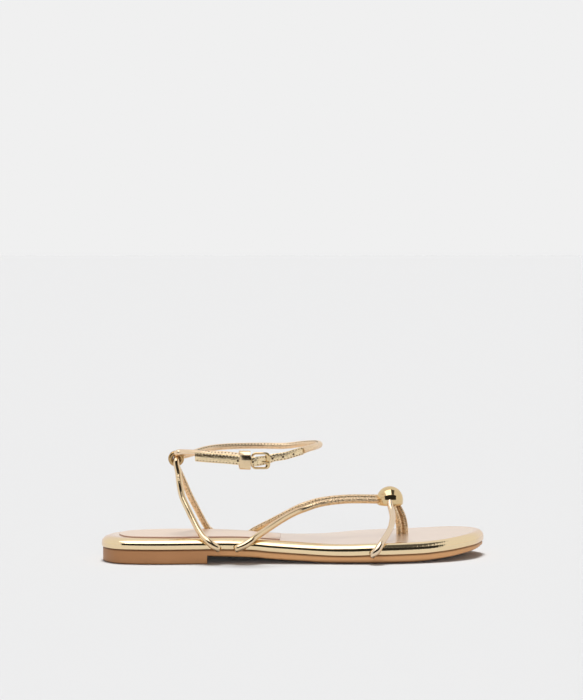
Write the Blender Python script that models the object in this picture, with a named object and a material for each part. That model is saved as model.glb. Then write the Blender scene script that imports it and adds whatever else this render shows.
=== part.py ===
"""Flat thong sandal with an ankle strap, right foot, standing empty on its sole.

A moulded outsole with a low heel carries a wrapped platform with a rounded rim. Rolled cords are tucked
between the two at the edges. They form the heel stay, the thong with its bead and toe post, and the ankle
strap with ring, buckle, keeper and stitched billet.

Row frame: +X to the toe, +Y to the inner side of the foot, +Z up, origin on the floor under the heel's centre.
All sizes below are in millimetres. Tables give shares of the named sizes.
"""

import math

import bpy
import bmesh
import numpy as np

MM = 0.001
OBJECT_NAME = "flat_thong_sandal"

# Sole
SOLE_LENGTH = 250.0
SOLE_HALF_WIDTH = 46.5          # reach of the inner ball from the heel's centre line
HEEL_CENTRE = 35.0              # from the back of the heel to the row's origin
HEEL_BREAST = 66.0              # from the back of the heel to the heel's front face
BREAST_SLOPE = 0.1              # half of the front face's own run
SEAM_HEIGHT = 9.1               # seam between outsole and platform at the heel, above the floor
SEAM_GAP = 0.3
PLATFORM_THICKNESS = 7.3
RIM_ROUND = 4.5
PLATFORM_EDGE_ROUND = 0.8
OUTSOLE_INSET = 0.8             # the platform overhangs the outsole by this
HEEL_BEVEL = 0.5
SOLE_EDGE_LIFT = 1.7            # before the heel the wall's lower edge lies this much above the underside
SOLE_CAMBER = 9.0               # and the underside is level from this far inside the wall
BEVEL_ROOM = 0.6                # the lift takes at most this share of the outsole's wall
TOP_EDGE_BEVEL = 0.3
STATIONS = 42

# Sock lining
SOCK_THICKNESS = 0.65
SOCK_INSET = 5.5                # beside the heel
SOCK_BACK_INSET = 11.8
SOCK_FRONT_INSET = 9.5
SOCK_FRONT = 113.0              # from the back of the heel to the panel's outer front corner
SOCK_FRONT_SLANT = 4.0          # the inner front corner lies this much further forward
SOCK_SEAT_GAP = 0.1
SOCK_EDGE_BEVEL = 0.2

# Rolled cords
CORD_RADIUS = 2.05
CORD_CLEARANCE = 0.3
RING_PASS_RADIUS = 1.65         # a cord is squeezed to this inside the ring
TUCK_RADIUS = 1.5               # and to this under the platform
TUCK_DEPTH = 5.0
TUCK_HEIGHT = 1.75              # centre of the tucked end above the seam
FOREFOOT_TUCK_HEIGHT = 0.5      # the same at the ball, where the cord reaches over the outsole
TUCK_ANGLES = (45, 25, 0)       # where the cord hugs the rim, in degrees above the wall
TUCK_TURN = (0.35, 0.75, 1.15)  # steps of the turn in under the platform, 1 is level
TUCK_SQUASH = 0.6
CORD_SIDES = 12
CORD_STEP = 3.2

# Where the cords leave the sole: forward share of SOLE_LENGTH, and the forward run for each unit of rise
STAY_OUTER = (0.290, -1.17)
STAY_INNER = (0.3096, -1.0)
THONG_OUTER = (0.340, 1.6)
THONG_INNER = (0.3696, 1.3)
FOREFOOT = (0.6812, 0.77)

# Toe post
POST_FOOT = (0.7816, 0.288)     # outer half, shares of SOLE_LENGTH and SOLE_HALF_WIDTH
POST_DEPTH = 4.0                # in the platform
POST_LEVEL = 0.79               # share of SOLE_LENGTH where the post's depth is measured

# Back ring
RING_CENTRE = (48.0, 65.1)      # forward, height
RING_WIRE = 0.75
RING_INNER = 3.9
RING_PASS_SHARE = 0.487         # offset of each cord from the ring's centre, as a share of RING_INNER

# Ankle loop
LOOP_LENGTH = 93.0
LOOP_HALF_WIDTH = 27.0
LOOP_RISE = 6.0                 # from the ring to the front of the ankle
BILLET_WIDTH = 5.9
BILLET_THICKNESS = 1.6
HOLE_RADIUS = 0.65
BAR_END_RADIUS = 1.85           # of the cord's end that wraps the buckle's rear bar

# Buckle
BUCKLE_LENGTH = 11.6
BUCKLE_HEIGHT = 10.8
BUCKLE_WIRE = 0.7
BUCKLE_CORNER = 2.4
BUCKLE_AT = (0.557, -1.037, -0.233)    # on the loop: shares of LOOP_LENGTH, LOOP_HALF_WIDTH and LOOP_RISE
PRONG_WIRE = 0.55
KEEPER_AT = 0.452               # forward share of LOOP_LENGTH
KEEPER_WIDTH = 6.4
KEEPER_HEIGHT = 11.8
KEEPER_WALL = 0.8
KEEPER_CORNER = 2.4
KEEPER_SLACK = 0.5
KEEPER_DROP = 0.6               # share of the billet's own drop beside the cord

# Bead
BEAD_RADIUS = 8.7
BEAD_SKIRT = 3.7
BEAD_EDGE_ROUND = 1.6
BEAD_AT = (0.754, 0.215)        # shares of SOLE_LENGTH and SOLE_HALF_WIDTH
BEAD_BASE = 32.4

# Outline of the sole seen from above: forward share of SOLE_LENGTH, side share of SOLE_HALF_WIDTH.
OUTLINE_OUTER = (
    (0.000, 0.000), (0.014, -0.290), (0.052, -0.484), (0.140, -0.591), (0.240, -0.606), (0.380, -0.624),
    (0.500, -0.710), (0.620, -0.828), (0.720, -0.860), (0.820, -0.785), (0.900, -0.624), (0.960, -0.355),
    (0.992, -0.020), (1.000, 0.172),
)
OUTLINE_INNER = (
    (0.992, 0.387), (0.960, 0.634), (0.900, 0.871), (0.820, 1.000), (0.740, 0.989), (0.648, 0.849),
    (0.560, 0.624), (0.480, 0.495), (0.400, 0.473), (0.320, 0.527), (0.240, 0.581), (0.140, 0.591),
    (0.056, 0.484), (0.016, 0.290),
)

# Side view: forward share of SOLE_LENGTH, height share of SEAM_HEIGHT.
SEAM_LINE = (
    (0.000, 1.000), (0.272, 1.000), (0.376, 0.923), (0.416, 0.824), (0.468, 0.725), (0.520, 0.637),
    (0.572, 0.571), (0.624, 0.560), (0.680, 0.604), (0.808, 0.648), (0.848, 0.703), (0.888, 0.780),
    (0.928, 0.879), (0.964, 0.956), (1.000, 1.022),
)
FLOOR_LINE = (
    (0.000, 0.000), (0.264, 0.480), (0.376, 0.363), (0.416, 0.264), (0.468, 0.165), (0.520, 0.077),
    (0.572, 0.000), (0.780, 0.000), (0.848, 0.120), (0.888, 0.220), (0.928, 0.350), (0.964, 0.470),
    (1.000, 0.600),
)


def metres(points):
    """Millimetres from the heel's back to metres in the row frame."""
    out = np.array(points, float)
    out[..., 0] -= HEEL_CENTRE
    return out * MM


def spline(points, closed=False, steps=12):
    """A smooth line through rows of numbers: each stretch is a cubic whose slopes come from the neighbours."""
    p = np.array(points, float)
    if closed:
        p = np.vstack([p[-1:], p, p[:2]])
    else:
        p = np.vstack([2 * p[0] - p[1], p, 2 * p[-1] - p[-2]])
    t = np.linspace(0, 1, steps, endpoint=False)[:, None]
    out = []
    for a, b, c, d in zip(p[:-3], p[1:-2], p[2:-1], p[3:]):
        out.append(0.5 * (2 * b + (c - a) * t + (2 * a - 5 * b + 4 * c - d) * t ** 2 + (3 * b - a - 3 * c + d) * t ** 3))
    out = np.concatenate(out)
    return out if closed else np.vstack([out, p[-2]])


def resample(rows, step):
    """The same line with points about one step apart, all columns carried along."""
    length = np.concatenate([[0], np.cumsum(np.linalg.norm(np.diff(rows[:, :3], axis=0), axis=1))])
    count = max(2, int(round(length[-1] / step)) + 1)
    at = np.linspace(0, length[-1], count)
    return np.stack([np.interp(at, length, rows[:, i]) for i in range(rows.shape[1])], axis=1)


def seam_height(x):
    table = np.array(SEAM_LINE)
    return np.interp(x, table[:, 0] * SOLE_LENGTH, table[:, 1] * SEAM_HEIGHT)


def floor_height(x):
    """Underside of the outsole: flat heel, step at the heel's front face, low arch, flat ball, toe spring."""
    table = np.array(FLOOR_LINE)
    arch = np.interp(x, table[:, 0] * SOLE_LENGTH, table[:, 1] * SEAM_HEIGHT)
    return np.where(np.asarray(x) < HEEL_BREAST, 0.0, arch)


def sole_sides():
    """Stations along the sole with the outer and inner reach at each."""
    dense = spline(OUTLINE_OUTER + OUTLINE_INNER, closed=True, steps=24) * (SOLE_LENGTH, SOLE_HALF_WIDTH)
    back, tip = int(np.argmin(dense[:, 0])), int(np.argmax(dense[:, 0]))
    dense = np.roll(dense, -back, axis=0)
    tip = (tip - back) % len(dense)
    outer, inner = dense[:tip + 1], np.vstack([dense[tip:], dense[:1]])[::-1]
    turn = np.linspace(0, math.pi, STATIONS)
    x = dense[0, 0] + (dense[tip, 0] - dense[0, 0]) * (1 - np.cos(turn)) / 2
    x = np.sort(np.concatenate([x, [HEEL_BREAST - BREAST_SLOPE, HEEL_BREAST + BREAST_SLOPE]]))
    return x, np.interp(x, outer[:, 0], outer[:, 1]), np.interp(x, inner[:, 0], inner[:, 1])


STATION_X, OUTER_Y, INNER_Y = sole_sides()
OUTER_COUNT = len(STATION_X)
RING_X = np.concatenate([STATION_X, STATION_X[-2:0:-1]])
RING_Y = np.concatenate([OUTER_Y, INNER_Y[-2:0:-1]])
SEAM_Z = seam_height(RING_X)
FLOOR_Z = floor_height(RING_X)


def inward():
    """Unit directions pointing into the sole at each point of the outline."""
    ring = np.stack([RING_X, RING_Y], 1)
    along = np.roll(ring, -1, 0) - np.roll(ring, 1, 0)
    along /= np.linalg.norm(along, axis=1)[:, None]
    return np.stack([-along[:, 1], along[:, 0]], 1)


INWARD = inward()


def sole_ring(inset, z):
    return np.column_stack([RING_X + INWARD[:, 0] * inset, RING_Y + INWARD[:, 1] * inset, z])


def edge_point(x, side, out):
    """Forward and side place of a point beside the sole's edge. side is -1 on the outer side, 1 on the inner."""
    reach = OUTER_Y if side < 0 else INNER_Y
    y = float(np.interp(x, STATION_X, reach))
    return x, y + side * out


def new_material(name, colour, metallic, roughness):
    material = bpy.data.materials.new(name)
    material.use_nodes = True
    shader = material.node_tree.nodes["Principled BSDF"]
    shader.inputs["Base Color"].default_value = (*colour, 1)
    shader.inputs["Metallic"].default_value = metallic
    shader.inputs["Roughness"].default_value = roughness
    return material


def add_object(name, mesh, collection, material=None):
    item = bpy.data.objects.new(name, mesh)
    collection.objects.link(item)
    if material:
        mesh.materials.append(material)
    return item


def solid(name, vertices, faces, collection, material=None, smooth=True):
    """One closed body from its corners in millimetres, with its faces turned outwards."""
    mesh = bpy.data.meshes.new(name)
    mesh.from_pydata([tuple(v) for v in metres(vertices)], [], faces)
    work = bmesh.new()
    work.from_mesh(mesh)
    bmesh.ops.recalc_face_normals(work, faces=work.faces)
    work.to_mesh(mesh)
    work.free()
    mesh.polygons.foreach_set("use_smooth", [smooth] * len(mesh.polygons))
    return add_object(name, mesh, collection, material)


def loft_sole(name, rings, outer_count, material):
    """A body through closed rings from bottom to top, capped across from the outer to the inner side."""
    count = len(rings[0])
    vertices = np.vstack(rings)
    faces = []
    for level in range(len(rings) - 1):
        low, high = level * count, (level + 1) * count
        for i in range(count):
            j = (i + 1) % count
            faces.append((low + i, low + j, high + j, high + i))
    for start in (0, (len(rings) - 1) * count):
        for i in range(outer_count - 1):
            a, b = start + i, start + i + 1
            c, d = start + (count - i - 1) % count, start + (count - i) % count
            loop = [a, b, c, d]
            faces.append(tuple(dict.fromkeys(loop)))
    return solid(name, vertices, faces, PARTS, material, smooth=False)


def cord(name, rows, collection, material=None, extra=0.0, step=CORD_STEP):
    """A round cord with filled ends along rows of forward, side, height and radius."""
    rows = resample(spline(rows), step)
    line = bpy.data.curves.new(name, "CURVE")
    line.dimensions = "3D"
    line.twist_mode = "MINIMUM"
    line.bevel_depth = 1.0
    line.bevel_resolution = CORD_SIDES // 4 - 1
    line.use_fill_caps = True
    run = line.splines.new("POLY")
    run.points.add(len(rows) - 1)
    places = metres(rows[:, :3])
    for point, place, radius in zip(run.points, places, rows[:, 3]):
        point.co = (*place, 1)
        point.radius = (radius + extra) * MM
    drawn = bpy.data.objects.new(name + "_line", line)
    collection.objects.link(drawn)
    bpy.context.view_layer.update()
    mesh = bpy.data.meshes.new_from_object(drawn.evaluated_get(bpy.context.evaluated_depsgraph_get()))
    bpy.data.objects.remove(drawn)
    bpy.data.curves.remove(line)
    work = bmesh.new()
    work.from_mesh(mesh)
    bmesh.ops.remove_doubles(work, verts=work.verts, dist=0.01 * MM)
    bmesh.ops.recalc_face_normals(work, faces=work.faces)
    work.to_mesh(mesh)
    work.free()
    mesh.name = name
    mesh.polygons.foreach_set("use_smooth", [True] * len(mesh.polygons))
    return add_object(name, mesh, collection, material)


def cut(target, cutter):
    cutter.hide_render = True
    cutter.display_type = "WIRE"
    change = target.modifiers.new(cutter.name, "BOOLEAN")
    change.operation = "DIFFERENCE"
    change.solver = "EXACT"
    change.object = cutter


def channel(target, name, rows, extra=CORD_CLEARANCE, step=CORD_STEP):
    """Room for a cord in another piece: the same run, thicker by the clearance."""
    cut(target, cord(f"{target.name}_{name}_room", rows, CUTTERS, extra=extra, step=step))


def tuck(side, x, lean, height=TUCK_HEIGHT):
    """The last stretch of a cord: over the platform's rim, down its wall and in under it, top to bottom.

    lean is how far the cord moves forward for each millimetre that it rises on the rim, and height is the
    tucked end's own above the seam.
    """
    seam = float(seam_height(x))
    shoulder = PLATFORM_THICKNESS - RIM_ROUND
    hug = RIM_ROUND + CORD_RADIUS + SEAM_GAP
    rows = []
    for angle in np.radians(TUCK_ANGLES):
        rise = shoulder + hug * math.sin(angle)
        place = edge_point(x + lean * (rise - height), side, hug * math.cos(angle) - RIM_ROUND)
        rows.append((*place, seam + rise, CORD_RADIUS))
    turn = CORD_RADIUS + SEAM_GAP
    for share in TUCK_TURN:
        out = turn * math.cos(share * math.pi / 2)
        lift = TUCK_SQUASH * turn * (1 - math.sin(share * math.pi / 2))
        radius = CORD_RADIUS + (TUCK_RADIUS - CORD_RADIUS) * share
        rows.append((*edge_point(x, side, out), seam + height + lift, radius))
    rows.append((*edge_point(x, side, -TUCK_DEPTH), seam + height, TUCK_RADIUS))
    return rows


def sized(rows, radius=CORD_RADIUS):
    return [(*row, radius) for row in rows]


def between(start, end, shares):
    """Places between two others, each axis by its own share of the way."""
    start, end = np.array(start[:3], float), np.array(end[:3], float)
    return [tuple(start + (end - start) * row) for row in shares]


def end_at(side, place, **more):
    """The tucked end of a cord that leaves the sole at a forward share with a lean."""
    return tuck(side, place[0] * SOLE_LENGTH, place[1], **more)


def start_scene():
    for item in list(bpy.data.objects):
        bpy.data.objects.remove(item)
    made = []
    for name in (OBJECT_NAME, "cutters"):
        made.append(bpy.data.collections.new(name))
        bpy.context.scene.collection.children.link(made[-1])
    made[1].hide_render = True
    return made


PARTS, CUTTERS = start_scene()

TAN = new_material("moulded_tan", (0.38, 0.19, 0.09), 0.0, 0.45)
PLATFORM_GOLD = new_material("platform_gold", (0.86, 0.67, 0.42), 1.0, 0.2)
SOCK_GOLD = new_material("sock_rose_gold", (0.80, 0.64, 0.54), 0.6, 0.4)
CORD_GOLD = new_material("cord_gold", (0.83, 0.65, 0.40), 1.0, 0.25)
METAL_GOLD = new_material("plated_metal", (0.90, 0.70, 0.38), 1.0, 0.12)


def make_outsole():
    """Flat heel and ball, an underside that curves up to the wall, top face following the seam."""
    in_heel = RING_X < HEEL_BREAST
    lift = np.where(in_heel, HEEL_BEVEL, SOLE_EDGE_LIFT)
    camber = np.where(in_heel, HEEL_BEVEL, SOLE_CAMBER)
    top = SEAM_Z - SEAM_GAP / 2
    room = np.maximum(top - FLOOR_Z - TOP_EDGE_BEVEL, lift)
    low = FLOOR_Z + np.minimum(lift, BEVEL_ROOM * room)
    rings = [
        sole_ring(OUTSOLE_INSET + camber, FLOOR_Z),
        sole_ring(OUTSOLE_INSET, low),
        sole_ring(OUTSOLE_INSET, top - TOP_EDGE_BEVEL),
        sole_ring(OUTSOLE_INSET + TOP_EDGE_BEVEL, top),
    ]
    return loft_sole("outsole", rings, OUTER_COUNT, TAN)


def make_platform():
    base = SEAM_Z + SEAM_GAP / 2
    top = SEAM_Z + PLATFORM_THICKNESS
    rings = [
        sole_ring(PLATFORM_EDGE_ROUND, base),
        sole_ring(0.3 * PLATFORM_EDGE_ROUND, base + 0.3 * PLATFORM_EDGE_ROUND),
        sole_ring(0.0, base + PLATFORM_EDGE_ROUND),
    ]
    for angle in np.linspace(0, math.pi / 2, 7):
        rings.append(sole_ring(RIM_ROUND * (1 - math.cos(angle)), top - RIM_ROUND * (1 - math.sin(angle))))
    return loft_sole("platform", rings, OUTER_COUNT, PLATFORM_GOLD)


def make_sock():
    """Thin panel over heel and waist with a straight front end."""
    narrow = np.clip((RING_X - HEEL_BREAST) / (SOCK_FRONT - HEEL_BREAST), 0, 1)
    inset = SOCK_INSET + (SOCK_FRONT_INSET - SOCK_INSET) * narrow
    edge = sole_ring(0.0, SEAM_Z + PLATFORM_THICKNESS + SOCK_SEAT_GAP)
    edge[:, :2] += INWARD * inset[:, None]
    edge[:, 0] += (SOCK_BACK_INSET - SOCK_INSET) * np.clip(1 - edge[:, 0] / HEEL_BREAST, 0, 1)
    outer = edge[:OUTER_COUNT]
    inner = np.vstack([edge[:1], edge[:OUTER_COUNT - 1:-1]])
    count = int(np.sum(outer[:, 0] < SOCK_FRONT - CORD_STEP))
    sides = []
    for side, run, front in ((-1, outer, SOCK_FRONT), (1, inner, SOCK_FRONT + SOCK_FRONT_SLANT)):
        place = edge_point(front, side, -SOCK_FRONT_INSET)
        height = float(seam_height(front)) + PLATFORM_THICKNESS + SOCK_SEAT_GAP
        sides.append(np.vstack([run[:count], (*place, height)]))
    ring = np.vstack([sides[0], sides[1][:0:-1]])
    centre = ring.mean(0)
    shrink = 1 - SOCK_EDGE_BEVEL / SOLE_HALF_WIDTH
    top = centre + (ring - centre) * (shrink, shrink, 1)
    lift = np.array([0, 0, 1.0])
    rings = [ring, ring + lift * (SOCK_THICKNESS - SOCK_EDGE_BEVEL), top + lift * SOCK_THICKNESS]
    return loft_sole("sock_lining", rings, len(sides[0]), SOCK_GOLD)


platform = make_platform()
outsole = make_outsole()
make_sock()

# Back ring, standing in the plane of the foot's length, with both cords passing through it.
ring_x, ring_z = RING_CENTRE
bpy.ops.mesh.primitive_torus_add(
    major_radius=(RING_INNER + RING_WIRE) * MM, minor_radius=RING_WIRE * MM, major_segments=28, minor_segments=8,
    rotation=(math.pi / 2, 0, 0), location=tuple(metres((ring_x, 0, ring_z))))
ring = bpy.context.object
ring.name = ring.data.name = "back_ring"
ring.data.transform(ring.matrix_world)
ring.matrix_world.identity()
ring.data.polygons.foreach_set("use_smooth", [True] * len(ring.data.polygons))
ring.data.materials.append(METAL_GOLD)
for holder in list(ring.users_collection):
    holder.objects.unlink(ring)
PARTS.objects.link(ring)

PASS = RING_PASS_SHARE * RING_INNER
HOOK = RING_WIRE + CORD_CLEARANCE + RING_PASS_RADIUS


# Free runs of the heel stay: shares of the way from the ring to the place where the cord lies on the rim.
STAY_OUTER_RUN = (
    (0.07, 0.07, 0.12), (0.11, 0.20, 0.27), (0.20, 0.34, 0.44), (0.39, 0.51, 0.60), (0.62, 0.69, 0.77),
    (0.81, 0.85, 0.90),
)
STAY_INNER_RUN = (
    (0.10, 0.08, 0.12), (0.23, 0.20, 0.26), (0.44, 0.37, 0.49), (0.64, 0.55, 0.68), (0.83, 0.77, 0.86),
)


def make_heel_stay():
    """Over the ring's lower wire, then down both sides and forward to the waist's edges."""
    wire_z = ring_z - RING_INNER - RING_WIRE
    hook = []
    for angle in np.radians((180, 135, 90, 45, 0)):
        hook.append((ring_x, HOOK * math.cos(angle), wire_z + HOOK * math.sin(angle), RING_PASS_RADIUS))
    outer_end, inner_end = end_at(-1, STAY_OUTER), end_at(1, STAY_INNER)
    outer_leg = between(hook[0], outer_end[0], STAY_OUTER_RUN)
    inner_leg = between(hook[-1], inner_end[0], STAY_INNER_RUN)
    rows = outer_end[::-1] + sized(outer_leg)[::-1] + hook + sized(inner_leg) + inner_end
    channel(platform, "heel_stay", rows)
    cord("heel_stay_cord", rows, PARTS, CORD_GOLD)


make_heel_stay()

# Ankle loop: forward share of LOOP_LENGTH, side share of LOOP_HALF_WIDTH, height share of LOOP_RISE.
LOOP_OUTER = (
    (0.082, -0.320, 0.37), (0.145, -0.490, 0.40), (0.198, -0.625, 0.42), (0.325, -0.820, 0.38),
    (0.425, -0.925, 0.19),
)
LOOP_FRONT = (
    (0.905, -0.565, 0.85), (0.955, -0.350, 0.95), (0.998, 0.000, 1.02), (0.998, 0.220, 1.06),
    (0.978, 0.425, 1.03), (0.902, 0.705, 0.87), (0.780, 0.905, 0.60), (0.625, 0.980, 0.61),
    (0.440, 0.925, 0.62), (0.310, 0.795, 0.58), (0.222, 0.630, 0.52), (0.148, 0.430, 0.42),
    (0.088, 0.245, 0.28),
)
# Billet from its tail to the keeper, beside the cord: row of LOOP_OUTER, drop share of BILLET_WIDTH.
BILLET_TAIL = ((1, 0.34), (2, 0.38), (3, 0.43), (4, 0.36))
# Billet from buckle to seam: forward, side and height shares as in LOOP_FRONT.
BILLET_FRONT = (
    (0.652, -0.940, 0.05), (0.730, -0.926, 0.22), (0.795, -0.835, 0.45), (0.858, -0.700, 0.66),
)
HOLES = (0.415, 0.505, 0.650, 0.722, 0.795)    # forward shares of LOOP_LENGTH
BILLET_LEVEL = 0.28             # share of BUCKLE_LENGTH that the billet runs level from the rear bar
BILLET_LIFT = 0.6               # its rise to the front bar
RING_FOLD = ((90, 0.10), (135, 0.03), (180, 0.0), (225, 0.03), (270, 0.10))    # turn in degrees, rise share
SLOT_SHIFT = 0.6                # play at the cord's end on the rear bar


def loop_point(forward, side, rise):
    return np.array((ring_x + forward * LOOP_LENGTH, side * LOOP_HALF_WIDTH,
                     ring_z + PASS + rise * LOOP_RISE))


def plan_turn(points):
    """Level unit directions across a run, to the outer side of the foot for a run that goes forward."""
    along = np.gradient(np.array(points, float), axis=0)
    along[:, 2] = 0
    along /= np.linalg.norm(along, axis=1)[:, None]
    return np.stack([along[:, 1], -along[:, 0], along[:, 2]], 1)


buckle_x, buckle_y, buckle_z = loop_point(*BUCKLE_AT)
REAR_BAR = buckle_x - BUCKLE_LENGTH / 2 + BUCKLE_WIRE
FRONT_BAR = buckle_x + BUCKLE_LENGTH / 2 - BUCKLE_WIRE
EYE = BUCKLE_WIRE + CORD_CLEARANCE + PRONG_WIRE
outer_run = [loop_point(*row) for row in LOOP_OUTER]


def billet_line():
    beside = CORD_RADIUS + CORD_CLEARANCE + BILLET_THICKNESS / 2
    across = plan_turn(outer_run)
    rows = [outer_run[i] + across[i] * beside - np.array((0, 0, drop * BILLET_WIDTH)) for i, drop in BILLET_TAIL]
    over_bar = buckle_y - EYE - PRONG_WIRE - CORD_CLEARANCE - BILLET_THICKNESS / 2
    under_bar = buckle_y + BUCKLE_WIRE + CORD_CLEARANCE + BILLET_THICKNESS / 2
    rows.append(np.array((REAR_BAR, over_bar, buckle_z)))
    rows.append(np.array((REAR_BAR + BILLET_LEVEL * BUCKLE_LENGTH, over_bar, buckle_z)))
    rows.append(np.array((FRONT_BAR, under_bar, buckle_z + BILLET_LIFT)))
    rows += [loop_point(*row) for row in BILLET_FRONT]
    return spline(rows)


def ribbon(name, line, width, thickness, material):
    """A flat strap on edge with rounded edges, along a line of points."""
    line = resample(line, CORD_STEP / 2)
    along = np.gradient(line, axis=0)
    along /= np.linalg.norm(along, axis=1)[:, None]
    up = np.array((0, 0, 1.0)) - along * along[:, 2:3]
    up /= np.linalg.norm(up, axis=1)[:, None]
    side = np.cross(along, up)
    w, t, r = width / 2, thickness / 2, thickness / 4
    section = ((-t, -w + r), (-t, w - r), (-t + r, w), (t - r, w), (t, w - r), (t, -w + r), (t - r, -w), (-t + r, -w))
    rings = [line + side * a + up * b for a, b in section]
    vertices = np.stack(rings, 1).reshape(-1, 3)
    n = len(section)
    faces = [tuple(range(n)), tuple(range(len(vertices) - n, len(vertices)))]
    for level in range(len(line) - 1):
        low = level * n
        for i in range(n):
            j = (i + 1) % n
            faces.append((low + i, low + j, low + n + j, low + n + i))
    return solid(name, vertices, faces, PARTS, material, smooth=False), line, side


def make_ankle_strap():
    """The rolled cord from the buckle's rear bar, through the ring and round the ankle to the billet's seam."""
    end = BILLET_LINE[-1]
    forward = BILLET_LINE[-1] - BILLET_LINE[-3]
    start = end + forward / np.linalg.norm(forward) * CORD_CLEARANCE
    fold = RING_PASS_RADIUS + RING_WIRE + 3 * CORD_CLEARANCE
    rows = [(REAR_BAR + TUCK_RADIUS, buckle_y, buckle_z, BAR_END_RADIUS),
            (REAR_BAR, buckle_y, buckle_z, BAR_END_RADIUS),
            (REAR_BAR - CORD_RADIUS, buckle_y + SLOT_SHIFT, buckle_z + SLOT_SHIFT, BAR_END_RADIUS)]
    rows += sized(outer_run)[::-1]
    for angle, lift in RING_FOLD:
        turn = math.radians(angle)
        rows.append((ring_x + fold * (1 + math.cos(turn)), -fold * math.sin(turn),
                     ring_z + PASS + lift * LOOP_RISE, RING_PASS_RADIUS))
    rows += sized([loop_point(*row) for row in LOOP_FRONT])[::-1]
    rows.append((*start, CORD_RADIUS))
    strap = cord("ankle_strap_cord", rows, PARTS, CORD_GOLD)
    bar = [(REAR_BAR, buckle_y, buckle_z - BUCKLE_HEIGHT / 2), (REAR_BAR, buckle_y, buckle_z + BUCKLE_HEIGHT / 2)]
    channel(strap, "rear_bar", sized(bar, BUCKLE_WIRE))
    slot = bpy.data.meshes.new("prong_slot")
    box = bmesh.new()
    bmesh.ops.create_cube(box, size=1.0)
    size = np.array((2 * (TUCK_RADIUS + EYE), 4 * CORD_RADIUS, 2 * (PRONG_WIRE + CORD_CLEARANCE))) * MM
    bmesh.ops.scale(box, vec=tuple(size), verts=box.verts)
    middle = metres((REAR_BAR + TUCK_RADIUS - SLOT_SHIFT, buckle_y, buckle_z))
    bmesh.ops.translate(box, vec=tuple(middle), verts=box.verts)
    box.to_mesh(slot)
    box.free()
    cut(strap, add_object("prong_slot", slot, CUTTERS))


BILLET_LINE = billet_line()
make_ankle_strap()

# Prong: an eye of wire round the rear bar, then straight over the front bar.
PRONG_TURNS = (20, 60, 100, 140, 180, 220, 250)
PRONG_STEP = 0.8
prong = []
for angle in np.radians(PRONG_TURNS):
    prong.append((REAR_BAR + EYE * math.cos(angle), buckle_y + EYE * math.sin(angle), buckle_z))
tip_y = buckle_y - EYE
for forward in (REAR_BAR + EYE, buckle_x, FRONT_BAR, FRONT_BAR + BUCKLE_WIRE):
    prong.append((forward, tip_y, buckle_z))
prong = sized(prong, PRONG_WIRE)
cord("buckle_prong", prong, PARTS, METAL_GOLD, step=PRONG_STEP)

billet, line, across = ribbon("ankle_strap_billet", BILLET_LINE, BILLET_WIDTH, BILLET_THICKNESS, CORD_GOLD)
for number, share in enumerate(HOLES, 1):
    i = int(np.argmin(abs(line[:, 0] - ring_x - share * LOOP_LENGTH)))
    ends = [line[i] - across[i] * BILLET_THICKNESS, line[i] + across[i] * BILLET_THICKNESS]
    cut(billet, cord(f"hole_{number}", sized(ends, HOLE_RADIUS), CUTTERS))
channel(billet, "prong", prong, step=PRONG_STEP)


def rounded_loop(length, height, corner, steps=6):
    """Corners of a rounded rectangle centred on nothing, forward and up."""
    out = []
    for quarter, (a, b) in enumerate(((1, 1), (-1, 1), (-1, -1), (1, -1))):
        for turn in np.linspace(0, math.pi / 2, steps) + quarter * math.pi / 2:
            out.append((a * (length / 2 - corner) + corner * math.cos(turn),
                        b * (height / 2 - corner) + corner * math.sin(turn)))
    return np.array(out)


def make_frame():
    """Round wire bent to a rounded rectangle, as a tube through rings of points."""
    path = rounded_loop(BUCKLE_LENGTH - 2 * BUCKLE_WIRE, BUCKLE_HEIGHT - 2 * BUCKLE_WIRE, BUCKLE_CORNER)
    along = np.roll(path, -1, 0) - np.roll(path, 1, 0)
    along /= np.linalg.norm(along, axis=1)[:, None]
    out = np.stack([along[:, 1], -along[:, 0]], 1)
    rings = []
    for turn in np.linspace(0, 2 * math.pi, CORD_SIDES, endpoint=False):
        place = path + out * BUCKLE_WIRE * math.cos(turn)
        rings.append(np.column_stack([buckle_x + place[:, 0],
                                      np.full(len(path), buckle_y + BUCKLE_WIRE * math.sin(turn)),
                                      buckle_z + place[:, 1]]))
    count = len(path)
    faces = []
    for a in range(CORD_SIDES):
        b = (a + 1) % CORD_SIDES
        for i in range(count):
            j = (i + 1) % count
            faces.append((a * count + i, a * count + j, b * count + j, b * count + i))
    solid("buckle_frame", np.vstack(rings), faces, PARTS, METAL_GOLD)


make_frame()


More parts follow.
